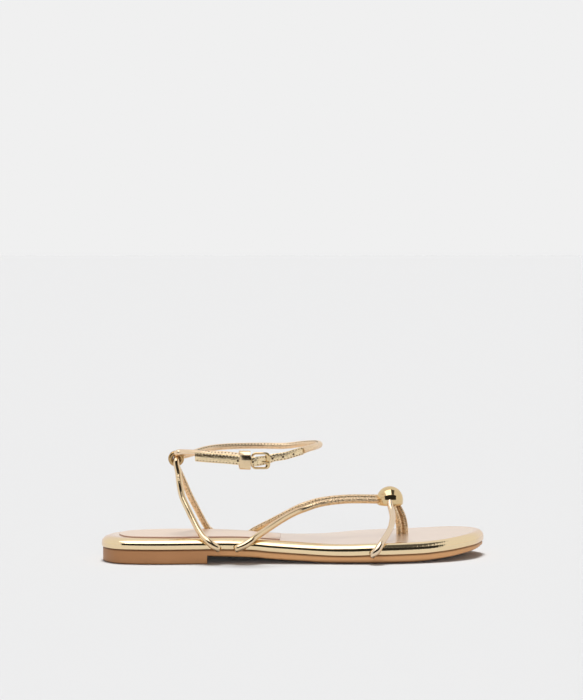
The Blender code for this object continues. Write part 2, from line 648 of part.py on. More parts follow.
def make_keeper():
    """Flat leather band bent round the cord and the billet, square to them."""
    run = spline(outer_run + [np.array((REAR_BAR, buckle_y, buckle_z))])
    keeper_x = ring_x + KEEPER_AT * LOOP_LENGTH
    i = int(np.argmin(abs(run[:, 0] - keeper_x)))
    drop = BILLET_WIDTH * BILLET_TAIL[-1][1]
    centre = run[i] + plan_turn(run)[i] * (BILLET_THICKNESS + CORD_CLEARANCE) / 2 - (0, 0, drop * KEEPER_DROP)
    keeper_y, keeper_z = centre[1], centre[2]
    slope = (run[i + 3, 1] - run[i - 3, 1]) / (run[i + 3, 0] - run[i - 3, 0])
    depth = 2 * CORD_RADIUS + BILLET_THICKNESS + 4 * CORD_CLEARANCE + 2 * KEEPER_WALL + KEEPER_SLACK
    outside = rounded_loop(depth, KEEPER_HEIGHT, KEEPER_CORNER)
    inside = rounded_loop(depth - 2 * KEEPER_WALL, KEEPER_HEIGHT - 2 * KEEPER_WALL, KEEPER_CORNER - KEEPER_WALL)
    rings = []
    for run, end in ((outside, -1), (outside, 1), (inside, 1), (inside, -1)):
        forward = end * KEEPER_WIDTH / 2
        rings.append(np.column_stack([np.full(len(run), keeper_x + forward),
                                      keeper_y + run[:, 0] + forward * slope,
                                      keeper_z + run[:, 1]]))
    count = len(outside)
    faces = []
    for a in range(4):
        b = (a + 1) % 4
        for i in range(count):
            j = (i + 1) % count
            faces.append((a * count + i, a * count + j, b * count + j, b * count + i))
    solid("keeper_loop", np.vstack(rings), faces, PARTS, CORD_GOLD, smooth=False)


make_keeper()


bead_x, bead_y = BEAD_AT[0] * SOLE_LENGTH, BEAD_AT[1] * SOLE_HALF_WIDTH
BEAD_PLACE = (bead_x, bead_y, BEAD_BASE)


def make_bead():
    """Polished bead turned about an upright axis: flat base, short skirt, dome."""
    profile = [(0.0, 0.0)]
    for turn in np.linspace(0, math.pi / 2, 5):
        profile.append((BEAD_RADIUS - BEAD_EDGE_ROUND * (1 - math.sin(turn)), BEAD_EDGE_ROUND * (1 - math.cos(turn))))
    for turn in np.linspace(0, math.pi / 2, 10):
        profile.append((BEAD_RADIUS * math.cos(turn), BEAD_SKIRT + BEAD_RADIUS * math.sin(turn)))
    profile[-1] = (0.0, BEAD_SKIRT + BEAD_RADIUS)
    mesh = bpy.data.meshes.new("bead")
    work = bmesh.new()
    corners = [work.verts.new((r * MM, 0, z * MM)) for r, z in profile]
    edges = [work.edges.new(pair) for pair in zip(corners, corners[1:])]
    bmesh.ops.spin(work, geom=corners + edges, axis=(0, 0, 1), cent=(0, 0, 0), steps=32, angle=2 * math.pi)
    bmesh.ops.remove_doubles(work, verts=work.verts, dist=0.01 * MM)
    bmesh.ops.recalc_face_normals(work, faces=work.faces)
    bmesh.ops.translate(work, vec=tuple(metres(BEAD_PLACE)), verts=work.verts)
    work.to_mesh(mesh)
    work.free()
    mesh.polygons.foreach_set("use_smooth", [True] * len(mesh.polygons))
    return add_object("bead", mesh, PARTS, METAL_GOLD)


bead = make_bead()


# Free runs as shares: from the rim to the bead's base, from there to the foot of the toe post, and from the
# bead to the rim at the ball.
THONG_RUN = (
    (0.10, 0.23, 0.29), (0.20, 0.43, 0.58), (0.29, 0.59, 0.80), (0.37, 0.69, 0.95), (0.50, 0.76, 1.16),
    (0.68, 0.85, 1.25), (0.90, 0.95, 1.21), (0.97, 0.97, 1.18),
)
POST_RUN = (
    (0.16, -0.21, -0.05), (0.38, -0.03, 0.10), (0.70, 0.32, 0.32), (0.93, 0.76, 0.58), (0.99, 0.97, 0.83),
    (1.00, 1.00, 1.00),
)
ACROSS_RUN = (
    (0.01, 0.10, -0.34), (0.02, 0.13, -0.32), (0.06, 0.17, -0.22), (0.09, 0.21, -0.05), (0.06, 0.28, 0.15),
    (0.10, 0.42, 0.36), (0.28, 0.58, 0.60), (0.56, 0.76, 0.77),
)
# The inner cord: from its rim to the place where it meets the other, then beside it. Each row of PAIR is the
# way from one cord's centre to the other's, in cord widths, from the fifth row of the outer cord on.
INNER_RUN = ((0.19, 0.27, 0.26), (0.42, 0.51, 0.56), (0.62, 0.69, 0.81), (0.77, 0.77, 0.95))
MEETING = 4
PAIR = (
    (0.14, 1.14, 0.36), (0.11, 1.00, 0.32), (0.11, 0.98, 0.34), (0.43, 0.93, 0.45), (0.61, 0.75, 0.36),
    (0.79, 0.59, 0.11), (0.88, 0.52, 0.11), (0.91, 0.45, 0.11), (0.93, 0.45, 0.00), (0.93, 0.45, 0.00),
)


def make_thong():
    """Two cords from the waist's edges meet, run through the bead and stand as the toe post, and a third
    runs from the bead to the outer edge of the ball."""
    post_end = float(seam_height(POST_LEVEL * SOLE_LENGTH)) + PLATFORM_THICKNESS - POST_DEPTH
    foot = (POST_FOOT[0] * SOLE_LENGTH, POST_FOOT[1] * SOLE_HALF_WIDTH, post_end)
    outer_end, inner_end = end_at(-1, THONG_OUTER), end_at(1, THONG_INNER)
    across_end = end_at(-1, FOREFOOT, height=FOREFOOT_TUCK_HEIGHT)
    outer = between(outer_end[0], BEAD_PLACE, THONG_RUN) + between(BEAD_PLACE, foot, POST_RUN)
    inner = between(inner_end[0], outer[MEETING], INNER_RUN)
    apart = 2 * CORD_RADIUS + CORD_CLEARANCE
    inner += [tuple(np.array(place) + apart * np.array(way)) for place, way in zip(outer[MEETING:], PAIR)]
    across = between(BEAD_PLACE, across_end[0], ACROSS_RUN)
    runs = (("thong_cord_lateral", outer_end, outer), ("thong_cord_medial", inner_end, inner),
            ("forefoot_cord", across_end, across[::-1]))
    for name, end, free in runs:
        rows = end[::-1] + sized(free)
        for piece in (platform, outsole, bead):
            channel(piece, name, rows)
        cord(name, rows, PARTS, CORD_GOLD)


make_thong()
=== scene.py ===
# %% [markdown]
# # A flat thong sandal in metallic leather
# The sandal is a low moulded sole with a foil-covered platform on it, five rolled leather cords, a polished
# bead over the toes and a buckled ankle strap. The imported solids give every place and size. This script
# gives the looks: smooth surfaces, seams, stitches, creases, foil and plating, and a plain studio.

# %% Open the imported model
import math
from collections import namedtuple

import bpy
import bmesh
import numpy as np
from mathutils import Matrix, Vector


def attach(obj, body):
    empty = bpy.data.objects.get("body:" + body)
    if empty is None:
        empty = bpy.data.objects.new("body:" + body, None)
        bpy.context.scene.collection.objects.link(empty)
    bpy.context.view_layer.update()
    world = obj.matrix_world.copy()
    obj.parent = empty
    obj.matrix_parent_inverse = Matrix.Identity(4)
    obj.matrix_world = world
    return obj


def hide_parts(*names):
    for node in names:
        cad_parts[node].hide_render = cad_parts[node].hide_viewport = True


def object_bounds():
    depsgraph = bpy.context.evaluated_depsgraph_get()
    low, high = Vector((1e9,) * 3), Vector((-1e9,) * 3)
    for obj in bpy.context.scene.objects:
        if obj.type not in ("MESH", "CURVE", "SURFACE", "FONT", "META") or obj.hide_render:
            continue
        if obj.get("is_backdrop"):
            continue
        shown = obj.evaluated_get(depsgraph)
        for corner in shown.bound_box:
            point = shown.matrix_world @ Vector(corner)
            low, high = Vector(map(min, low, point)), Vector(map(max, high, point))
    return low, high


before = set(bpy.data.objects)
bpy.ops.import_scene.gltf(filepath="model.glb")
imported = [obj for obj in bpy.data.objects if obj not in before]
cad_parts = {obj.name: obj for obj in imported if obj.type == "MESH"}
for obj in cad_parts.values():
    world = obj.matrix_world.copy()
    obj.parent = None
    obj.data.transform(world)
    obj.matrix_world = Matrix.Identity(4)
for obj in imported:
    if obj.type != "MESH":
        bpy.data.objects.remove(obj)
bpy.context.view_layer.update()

# %% [markdown]
# ## Camera
# The view is a product photograph taken from the outer side of the foot, 6 degrees towards the heel and 7
# degrees above the floor, from about 1.6 m. The shoe sits low in the frame, so the camera looks a little
# above it. Turning the camera does that without any lens shift.

# %% Camera at the photograph's angle
MM = 0.001
PHOTO = (583, 700)
SENSOR = 36.0
AIM = np.array((0.090, 0.0, 0.0085))        # a place under the thong, on the middle line of the shoe
AIM_PIXEL = (295.0, 544.4)
DISTANCE = 1.6
SIDE_ANGLE = math.radians(-6.0)
RISE_ANGLE = math.radians(7.0)
FOCAL_PIXELS = 2459.2

back = np.array((math.sin(SIDE_ANGLE) * math.cos(RISE_ANGLE), -math.cos(SIDE_ANGLE) * math.cos(RISE_ANGLE),
                 math.sin(RISE_ANGLE)))
look_up = math.atan((AIM_PIXEL[1] - PHOTO[1] / 2) / FOCAL_PIXELS)
look_left = math.atan((AIM_PIXEL[0] - PHOTO[0] / 2) / FOCAL_PIXELS)
lens = bpy.data.cameras.new("camera")
lens.sensor_width = SENSOR
lens.lens = FOCAL_PIXELS * SENSOR / max(PHOTO)
camera = bpy.data.objects.new("camera", lens)
camera.location = AIM + back * DISTANCE
camera.rotation_euler = (math.pi / 2 - RISE_ANGLE + look_up, 0.0, SIDE_ANGLE + look_left)
bpy.context.scene.collection.objects.link(camera)
bpy.context.scene.camera = camera
bpy.context.scene.view_settings.view_transform = "Standard"
print("camera at", tuple(round(c, 3) for c in camera.location), "lens", round(lens.lens, 1), "mm")

# %% [markdown]
# ## Shader sums as expressions
# A finish is a small sum: some noise, times a mask, plus a colour. Written with plain operators it reads like
# that sum, so one class wraps a socket and turns each operator into a Math node. Every other node comes from
# one method, which sets the node's own settings first and its sockets after that.

# %% A socket that can be added, scaled and compared
class Value:
    """One output of a node tree. Arithmetic on it adds Math nodes to the same tree."""

    def __init__(self, tree, socket):
        self.tree, self.socket = tree, socket

    def math(self, operation, *values):
        return node(self.tree, "ShaderNodeMath", {"operation": operation}, dict(enumerate(values)))

    def __add__(self, other):
        return self.math("ADD", self, other)

    def __sub__(self, other):
        return self.math("SUBTRACT", self, other)

    def __rsub__(self, other):
        return self.math("SUBTRACT", other, self)

    def __mul__(self, other):
        return self.math("MULTIPLY", self, other)

    def __truediv__(self, other):
        return self.math("DIVIDE", self, other)

    __radd__, __rmul__ = __add__, __mul__

    def rise(self, low, high):
        """0 below low, 1 above high and a smooth step between. With low above high it falls."""
        return node(self.tree, "ShaderNodeMapRange", {"interpolation_type": "SMOOTHSTEP"},
                    {"Value": self, "From Min": low, "From Max": high})

    def window(self, low, high, soft):
        """1 between low and high, falling to 0 over the width soft outside each."""
        return self.rise(low - soft, low) * self.rise(high + soft, high)


def node(tree, kind, settings=(), inputs=(), output=0):
    """Adds one node: its settings first, then the values or links of its sockets. Gives one output."""
    made = tree.nodes.new(kind)
    for name, value in dict(settings).items():
        setattr(made, name, value)
    for name, value in dict(inputs).items():
        if isinstance(value, Value):
            tree.links.new(value.socket, made.inputs[name])
        elif made.inputs[name].type == "RGBA":
            made.inputs[name].default_value = (*value, 1.0)
        else:
            made.inputs[name].default_value = value
    return Value(tree, made.outputs[output])


def mix_colour(share, first, second):
    """first where share is 0, second where it is 1."""
    return node(share.tree, "ShaderNodeMix", {"data_type": "RGBA"}, {0: share, 6: first, 7: second}, output=2)


def finish(name, colour, roughness, metallic=0.0, more=()):
    """A new material with its plain numbers set on the shader's own sockets."""
    made = bpy.data.materials.new(name)
    made.use_nodes = True
    shader = made.node_tree.nodes["Principled BSDF"]
    shader.inputs["Base Color"].default_value = (*colour, 1.0)
    shader.inputs["Roughness"].default_value = roughness
    shader.inputs["Metallic"].default_value = metallic
    for socket, value in dict(more).items():
        shader.inputs[socket].default_value = value
    return made, made.node_tree, shader


def wire(shader, socket, value):
    value.tree.links.new(value.socket, shader.inputs[socket])


def bump(height, distance, strength=1.0, normal=None):
    """The surface's direction on a relief. distance is the relief's full height in metres."""
    inputs = {"Height": height, "Distance": distance, "Strength": strength}
    if normal:
        inputs["Normal"] = normal
    return node(height.tree, "ShaderNodeBump", {}, inputs)


def axes(vector):
    """The three parts of a vector."""
    split = node(vector.tree, "ShaderNodeSeparateXYZ", {}, {0: vector}).socket.node
    return [Value(vector.tree, part) for part in split.outputs]


def place_of(tree):
    """The place on the object itself, in metres."""
    return node(tree, "ShaderNodeTexCoord", output=3)


def run_of(tree):
    """The piece's own map: the share of the way round and the distance along, in millimetres."""
    return node(tree, "ShaderNodeUVMap", {"uv_map": "run"})


def noise(vector, scale, detail, roughness=0.5):
    """Cloudy noise. One scale holds for every direction, and three scales give each axis its own."""
    if np.ndim(scale):
        vector = node(vector.tree, "ShaderNodeMapping", {}, {"Vector": vector, "Scale": scale})
        scale = 1.0
    return node(vector.tree, "ShaderNodeTexNoise", {},
                {"Vector": vector, "Scale": scale, "Detail": detail, "Roughness": roughness})


# %% [markdown]
# ## Studio
# The foil and the plating are mirrors, so most of what they show is the room. The room is pale all round.
# Its front is dark from just above the floor to halfway up, a wide bright lamp hangs over the shoe, and the
# air to the right of that lamp is dark as well. This makes the white line with a dark line under it that runs
# along the platform's rim and along every cord, and the white and the black spot on the bead. Only mirrors
# see these areas: the camera and matt surfaces see the plain wall. Two soft suns make the pale, short shadow.

# %% Room and floor
WALL, LAMP, STUDIO_DARK = 0.871, 2.4, 0.03
MATT_SHARE = 0.22                           # how much of the wall's light falls on matt surfaces
RIGHT_DARKNESS = 0.92
# An area is a window of leans, towards the heel if negative, and one of degrees from the front over the top.
# Each window is its start, its end and the width of its soft edge.
FRONT_AREA = ((-1.2, 1.05, 0.12), (1.0, 47.0, 1.5))
RIGHT_AREA = ((0.13, 0.54, 0.05), (50.0, 100.0, 2.5))
LAMP_AREA = ((-0.68, 0.10, 0.04), (47.0, 98.0, 1.5))

world = bpy.data.worlds.new("room")
bpy.context.scene.world = world
world.use_nodes = True
air = world.node_tree
east, north, up = axes(node(air, "ShaderNodeTexCoord"))
over = up.math("ARCTAN2", up, 0.0 - north) * math.degrees(1.0)
aside = east / up.math("SQRT", up * up + north * north)


def area(leans, degrees):
    """1 inside an area of the room and 0 outside it."""
    return aside.window(*leans) * over.window(*degrees)


dark = over.math("MAXIMUM", area(*FRONT_AREA), area(*RIGHT_AREA) * RIGHT_DARKNESS)
lamp = area(*LAMP_AREA)
room = (WALL + dark * (STUDIO_DARK - WALL)) * (1.0 - lamp) + lamp * LAMP
rays = node(air, "ShaderNodeLightPath").socket.node
to_camera, to_matt = (Value(air, rays.outputs[i]) for i in (0, 2))
light = room * (1.0 - to_camera) * (1.0 - to_matt) + (to_camera + to_matt * MATT_SHARE) * WALL
shade = air.nodes["Background"]
wire(shade, "Strength", light)
shade.inputs["Color"].default_value = (1.0, 1.0, 1.0, 1.0)


def soft_sun(name, strength, spread, lean):
    """A distant lamp. Its lean is the angle from straight down, towards the back of the room if negative."""
    sun = bpy.data.lights.new(name, "SUN")
    sun.energy = strength
    sun.angle = math.radians(spread)
    item = bpy.data.objects.new(name, sun)
    item.rotation_euler = (math.radians(lean), 0.0, 0.0)
    item.visible_glossy = False
    bpy.context.scene.collection.objects.link(item)


soft_sun("overhead_lamp", 2.94, 18.0, -10.0)
soft_sun("front_fill", 1.4, 20.0, 86.0)

FLOOR_SPREAD = 40.0
FLOOR_GREY = (0.727, 0.727, 0.729)
floor_mesh = bpy.data.meshes.new("floor")
floor_corners = [(x * FLOOR_SPREAD, y * FLOOR_SPREAD, 0.0) for x, y in ((-1, -1), (1, -1), (1, 1), (-1, 1))]
floor_mesh.from_pydata(floor_corners, [], [(0, 1, 2, 3)])
floor = bpy.data.objects.new("floor", floor_mesh)
bpy.context.scene.collection.objects.link(floor)
floor_mesh.materials.append(finish("pale_floor", FLOOR_GREY, 0.9, 0.0, {"Specular IOR Level": 0.0})[0])
floor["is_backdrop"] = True

# %% [markdown]
# ## Sizes shared with the solids
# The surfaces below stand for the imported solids, so they follow the same sizes: the outline of the sole, the
# heights of the seam and of the underside, and the runs of the cords. All are in millimetres from the back
# of the heel, and `to_frame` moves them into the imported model's frame.

# %% Sizes
HEEL_CENTRE = 35.0
SOLE_LENGTH = 250.0
SOLE_HALF_WIDTH = 46.5
HEEL_BREAST = 66.0
SEAM_HEIGHT = 9.1
SEAM_GAP = 0.3
PLATFORM_THICKNESS = 7.3
RIM_ROUND = 4.5                             # height of the rounded rim
RIM_REACH_BACK, RIM_REACH_FRONT = 6.5, 4.6  # and how far in the board goes on curving, at waist and ball
CORD_RADIUS = 2.05
CORD_CLEARANCE = 0.3
RING_CENTRE = np.array((48.0, 0.0, 65.1))
RING_WIRE = 0.75
RING_INNER = 3.9
RING_THICKNESS = 1.55                       # the polished wire's own half thickness
RING_MIDDLE = 3.6
RING_PASS_RADIUS = 1.65                     # a cord is squeezed a little in the ring
FOLD_RADIUS = 2.0
HOOK_RADIUS = 1.95
RING_PASS_SHARE = 0.487

# Outline of the sole from above: forward share of SOLE_LENGTH, side share of SOLE_HALF_WIDTH.
OUTLINE_OUTER = (
    (0.000, 0.000), (0.014, -0.290), (0.052, -0.484), (0.140, -0.591), (0.240, -0.606), (0.380, -0.624),
    (0.500, -0.710), (0.620, -0.828), (0.720, -0.860), (0.820, -0.785), (0.900, -0.624), (0.960, -0.355),
    (0.992, -0.020), (1.000, 0.172),
)
OUTLINE_INNER = (
    (0.992, 0.387), (0.960, 0.634), (0.900, 0.871), (0.820, 1.000), (0.740, 0.989), (0.648, 0.849),
    (0.560, 0.624), (0.480, 0.495), (0.400, 0.473), (0.320, 0.527), (0.240, 0.581), (0.140, 0.591),
    (0.056, 0.484), (0.016, 0.290),
)
# Side view: forward share of SOLE_LENGTH, height share of SEAM_HEIGHT.
SEAM_LINE = (
    (0.000, 1.000), (0.272, 1.000), (0.376, 0.923), (0.416, 0.824), (0.468, 0.725), (0.520, 0.637),
    (0.572, 0.571), (0.624, 0.560), (0.680, 0.604), (0.808, 0.648), (0.848, 0.703), (0.888, 0.780),
    (0.928, 0.879), (0.964, 0.956), (1.000, 1.022),
)
ARCH_LINE = (
    (0.264, 0.480), (0.376, 0.363), (0.416, 0.264), (0.468, 0.165), (0.520, 0.077), (0.572, 0.000),
    (0.780, 0.000), (0.848, 0.120), (0.888, 0.220), (0.928, 0.350), (0.964, 0.470), (1.000, 0.600),
)


def to_frame(places):
    """Millimetres from the heel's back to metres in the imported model's frame."""
    return (np.asarray(places, float) - (HEEL_CENTRE, 0.0, 0.0)) * MM


def unit(ways):
    return ways / np.linalg.norm(ways, axis=-1, keepdims=True)


def spline(rows, closed=False, steps=12):
    """A smooth line through rows of numbers: between two rows it is a cubic whose end slopes are half the
    way from the row before to the row after (a Catmull-Rom line)."""
    p = np.array(rows, float)
    p = np.vstack([p[-1:], p, p[:2]]) if closed else np.vstack([2 * p[0] - p[1], p, 2 * p[-1] - p[-2]])
    a, b, c, d = (p[i:len(p) - 3 + i, None] for i in range(4))
    t = np.linspace(0.0, 1.0, steps, endpoint=False)[None, :, None]
    square, cube = 2 * a - 5 * b + 4 * c - d, 3 * b - a - 3 * c + d
    cubic = 0.5 * (2 * b + (c - a) * t + square * t ** 2 + cube * t ** 3)
    cubic = cubic.reshape(-1, p.shape[1])
    return cubic if closed else np.vstack([cubic, p[-2]])


def spaced(rows, step):
    """The same line with places about one step apart. Further columns are carried along."""
    length = np.concatenate([[0.0], np.cumsum(np.linalg.norm(np.diff(rows[:, :3], axis=0), axis=1))])
    at = np.linspace(0.0, length[-1], max(2, int(round(length[-1] / step)) + 1))
    return np.stack([np.interp(at, length, column) for column in rows.T], axis=1)


SEAM_DENSE = spline(SEAM_LINE)
ARCH_DENSE = spline(ARCH_LINE)


def seam_height(x):
    return np.interp(x, SEAM_DENSE[:, 0] * SOLE_LENGTH, SEAM_DENSE[:, 1] * SEAM_HEIGHT)


def rim_reach(x):
    return np.interp(x, (125.0, 152.0), (RIM_REACH_BACK, RIM_REACH_FRONT))


def underside(x):
    """0 under the heel, then the arch, the flat ball and the toe spring."""
    arch = np.interp(x, ARCH_DENSE[:, 0] * SOLE_LENGTH, np.maximum(ARCH_DENSE[:, 1], 0.0) * SEAM_HEIGHT)
    return np.where(np.asarray(x) < HEEL_BREAST, 0.0, arch)


print("seam", seam_height(0.0), "mm up at the heel and", round(float(seam_height(150.0)), 2), "at the ball")

# %% [markdown]
# ## From a grid of places to a mesh
# Every new surface here is a grid: one direction runs along the piece and the other round it. The places are
# worked out as whole arrays, and the faces join each place with its neighbours in the grid. Where a grid
# closes in a point, its doubled corners are merged, and then all faces are turned outwards.

# %% Grid surfaces
DOUBLED = 0.0005                            # corners closer than this, in millimetres, are one


def grid_faces(rows, columns, around=True):
    """The corner numbers of every face. around joins the last column to the first."""
    i = np.arange(rows - 1)[:, None] * columns
    j = np.arange(columns if around else columns - 1)[None, :]
    k = (j + 1) % columns
    return np.stack([i + j, i + k, i + columns + k, i + columns + j], -1).reshape(-1, 4)


def mesh_of(name, places, faces):
    mesh = bpy.data.meshes.new(name)
    mesh.vertices.add(places.size // 3)
    mesh.vertices.foreach_set("co", to_frame(places).ravel())
    mesh.loops.add(faces.size)
    mesh.loops.foreach_set("vertex_index", faces.ravel().astype(np.int32))
    mesh.polygons.add(len(faces))
    mesh.polygons.foreach_set("loop_start", np.arange(0, faces.size, 4, dtype=np.int32))
    mesh.update(calc_edges=True)
    return mesh


def closed_up(mesh, sharp=None):
    """Merges doubled corners, turns all faces outwards and shades them smooth. Where two faces meet at more
    than sharp degrees, the edge between them stays crisp."""
    work = bmesh.new()
    work.from_mesh(mesh)
    bmesh.ops.remove_doubles(work, verts=work.verts, dist=DOUBLED * MM)
    bmesh.ops.recalc_face_normals(work, faces=work.faces)
    work.to_mesh(mesh)
    work.free()
    mesh.polygons.foreach_set("use_smooth", np.ones(len(mesh.polygons), bool))
    if sharp:
        mesh.set_sharp_from_angle(angle=math.radians(sharp))
    return mesh


def grid_mesh(name, places, around=True, along=None, sharp=None):
    """A mesh through places[row, column]. Where along is given, its map holds the share of the way round and
    the distance along, in millimetres."""
    places = np.asarray(places, float)
    rows, columns = places.shape[:2]
    mesh = mesh_of(name, places, grid_faces(rows, columns, around))
    if along is not None:
        low, high = np.asarray(along)[:-1, None], np.asarray(along)[1:, None]
        j = np.arange(columns if around else columns - 1)[None, :]
        across = np.stack([j, j + 1, j + 1, j], -1) / columns + 0.0 * low[..., None]
        run = np.stack([low, low, high, high], -1) + 0.0 * across
        mesh.uv_layers.new(name="run").data.foreach_set("uv", np.stack([across, run], -1).ravel())
    return closed_up(mesh, sharp)


def add_piece(mesh, material, stands_for=()):
    """Puts a mesh into the scene as a piece that rides on the one body and stands for its solids."""
    item = bpy.data.objects.new(mesh.name, mesh)
    bpy.context.scene.collection.objects.link(item)
    mesh.materials.append(material)
    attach(item, "root")
    if stands_for:
        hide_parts(*stands_for)
    print(mesh.name, len(mesh.vertices), "corners")


# %% [markdown]
# ## The sole's outline as rings
# Outsole and platform share one outline. It is sampled closely, with more stations at the two round ends,
# and each place knows the way into the sole. A ring is that outline moved inwards by an inset and lifted to
# a height, so a wall, a bevel or a rounded rim is a short list of insets and heights.

# %% Rings
STATIONS = 150
BREAST_STEP = 0.05                          # two stations this close to the heel's front keep it upright
MIDDLE_BACK, MIDDLE_FRONT = 22.0, 30.0      # how far the middle line stays from the heel's and the toe's end
CAP_RINGS = 14


def outline_rings():
    """Stations by the cosine of an even turn, and the outer and the inner side at each of them."""
    line = spline(OUTLINE_OUTER + OUTLINE_INNER, closed=True, steps=40) * (SOLE_LENGTH, SOLE_HALF_WIDTH)
    line = np.roll(line, -int(np.argmin(line[:, 0])), axis=0)
    tip = int(np.argmax(line[:, 0]))
    outer, inner = line[:tip + 1], np.vstack([line[tip:], line[:1]])[::-1]
    turn = np.linspace(0.0, math.pi, STATIONS)
    x = line[0, 0] + (line[tip, 0] - line[0, 0]) * (1.0 - np.cos(turn)) / 2
    x = np.sort(np.concatenate([x, [HEEL_BREAST - BREAST_STEP, HEEL_BREAST + BREAST_STEP]]))
    return x, np.interp(x, outer[:, 0], outer[:, 1]), np.interp(x, inner[:, 0], inner[:, 1])


STATION_X, OUTER_Y, INNER_Y = outline_rings()
OUTLINE = np.stack([np.concatenate([STATION_X, STATION_X[-2:0:-1]]),
                    np.concatenate([OUTER_Y, INNER_Y[-2:0:-1]])], 1)
wall_run = unit(np.roll(OUTLINE, -2, 0) - np.roll(OUTLINE, 2, 0))
INWARD = np.stack([-wall_run[:, 1], wall_run[:, 0]], 1)
middle_x = np.clip(OUTLINE[:, 0], MIDDLE_BACK, SOLE_LENGTH - MIDDLE_FRONT)
MIDDLE = np.stack([middle_x, np.interp(middle_x, STATION_X, (OUTER_Y + INNER_Y) / 2)], 1)


def sole_ring(inset, height):
    """The outline moved inwards and lifted, each by one number or by one for each place."""
    flat = OUTLINE + INWARD * np.broadcast_to(inset, len(OUTLINE))[:, None]
    return np.column_stack([flat, np.broadcast_to(height, len(flat))])


def cap_rings(ring, height_of, top=True):
    """Rings from an edge ring to the middle line of the sole. Each place moves to the middle line by an even
    share, and its height is that of the sole at its own forward place."""
    shares = np.linspace(0.0, 1.0, CAP_RINGS + 1)[1:, None, None]
    flat = ring[None, :, :2] * (1.0 - shares) + MIDDLE[None] * shares
    caps = np.concatenate([flat, height_of(flat[..., 0])[..., None]], -1)
    return caps if top else caps[::-1]


print(len(OUTLINE), "places round the sole")

# %% [markdown]
# ## Moulded outsole
# One tan moulding with a low heel. Its wall is plain and satin, with a fine speckle from the mould, a
# softened lower edge and a step where the heel ends. It is painted lighter from the waist to the toe, where
# the wall leans up to the light, and painted darker as shade under the seam, at the floor and where its lower
# edge curves in. Its underside is dark rubber, painted near black so that it also deepens the shade on the
# floor under the arch. The piece's own map says how far below the seam a place is, so one material can
# colour them all.

# %% Tan moulding
TAN = (0.42, 0.198, 0.082)
TAN_CLOUDS = ((0.40, 0.188, 0.077), (0.44, 0.210, 0.088))
PAINTED_LIGHT_TAN = (0.70, 0.375, 0.165)
SEAM_SHADE = (0.14, 0.055, 0.02)
FLOOR_SHADE = (0.05, 0.022, 0.01)
CURVE_SHADE = (0.16, 0.07, 0.03)
UNDERSIDE_RUBBER_AND_SHADE = (0.045, 0.038, 0.034)

tan, tree, shader = finish("moulded_tan", TAN, 0.42, 0.0, {"Specular IOR Level": 0.35})
place = place_of(tree)
speckle, cloud = noise(place, 900.0, 2.0), noise(place, 28.0, 3.0)
forward, _, above_floor = axes(place)
below_seam = axes(run_of(tree))[1]
paint = mix_colour(cloud.rise(0.35, 0.7), *TAN_CLOUDS)
# Painted light: lighter from the waist to the toe, where the wall leans up to the light.
paint = mix_colour(forward.rise(0.02, 0.06) * 0.9, paint, PAINTED_LIGHT_TAN)
# Painted shade: darker just under the seam, where the platform overhangs, and along the floor.
paint = mix_colour(below_seam.rise(1.15, 0.35) * 0.6, paint, SEAM_SHADE)
paint = mix_colour(above_floor.rise(0.0009, 0.0003) * 0.75, paint, FLOOR_SHADE)
# The underside is dark rubber, painted near black so that it also deepens the shade under the sole: painted
# shade.
paint = mix_colour(below_seam.rise(3.1, 4.5), paint, UNDERSIDE_RUBBER_AND_SHADE)
# Painted shade where the lower edge curves in under the arch and the ball.
painted_curve_shade = above_floor.rise(0.0034, 0.0008) * forward.window(0.05, 0.19, 0.02) * 0.8
wire(shader, "Base Color", mix_colour(painted_curve_shade, paint, CURVE_SHADE))
wire(shader, "Roughness", 0.38 + speckle * 0.14)
wire(shader, "Normal", bump(speckle, 0.00006, 0.5))

# %% Outsole
OUTSOLE_INSET, OUTSOLE_BEVEL = 0.8, 0.3
EDGE_LIFT_HEEL, EDGE_LIFT_FRONT, EDGE_LIFT_SHARE = 0.6, 1.7, 0.6
EDGE_REACH_HEEL, EDGE_REACH_FRONT = 0.6, 9.0
EDGE_RINGS = 5
WALL_DEPTHS = (2.0, 1.2, 0.6, 0.3)          # millimetres below the seam
EDGE_MARK, UNDERSIDE_MARK = 3.0, 8.0        # what the map says of the curved edge and of the underside
TREAD_DEPTH = 0.4

x_ring = OUTLINE[:, 0]
at_heel = x_ring < HEEL_BREAST
floor_z = underside(x_ring)
top_z = seam_height(x_ring) - SEAM_GAP / 2
lift = np.minimum(np.where(at_heel, EDGE_LIFT_HEEL, EDGE_LIFT_FRONT), EDGE_LIFT_SHARE * (top_z - floor_z))
reach = np.where(at_heel, EDGE_REACH_HEEL, EDGE_REACH_FRONT)
edge = [sole_ring(OUTSOLE_INSET + reach * (1 - math.sin(turn)), floor_z + lift * (1 - math.cos(turn)))
        for turn in np.linspace(0.0, math.pi / 2, EDGE_RINGS)]
depths = [depth for depth in WALL_DEPTHS if np.all(top_z - depth > edge[-1][:, 2])]
wall = [sole_ring(OUTSOLE_INSET, top_z - depth) for depth in depths]
wall.append(sole_ring(OUTSOLE_INSET + OUTSOLE_BEVEL, top_z))
rings = np.concatenate([cap_rings(edge[0], lambda x: underside(x) + TREAD_DEPTH, top=False),
                        np.array(edge + wall), cap_rings(wall[-1], lambda x: seam_height(x) - SEAM_GAP / 2)])
marks = np.concatenate([np.full(CAP_RINGS, UNDERSIDE_MARK), np.full(len(edge), EDGE_MARK), depths,
                        np.zeros(1 + CAP_RINGS)])
add_piece(grid_mesh("outsole_moulding", rings, along=marks, sharp=40.0), tan, ["outsole"])

# %% [markdown]
# ## Foil-covered platform
# A board wrapped in leather with a metal foil on it. On the rim the foil is drawn tight, so it is nearly a
# mirror. The top, where the foot rubs it, is satin under a thin clear coat, which still shows the toe post
# faintly. The rim is a soft roll, and the wrap turns in under the board. A very low, wide unevenness breaks
# the mirror lines as leather does, and short ticks run across it where it is worked round heel and toe.

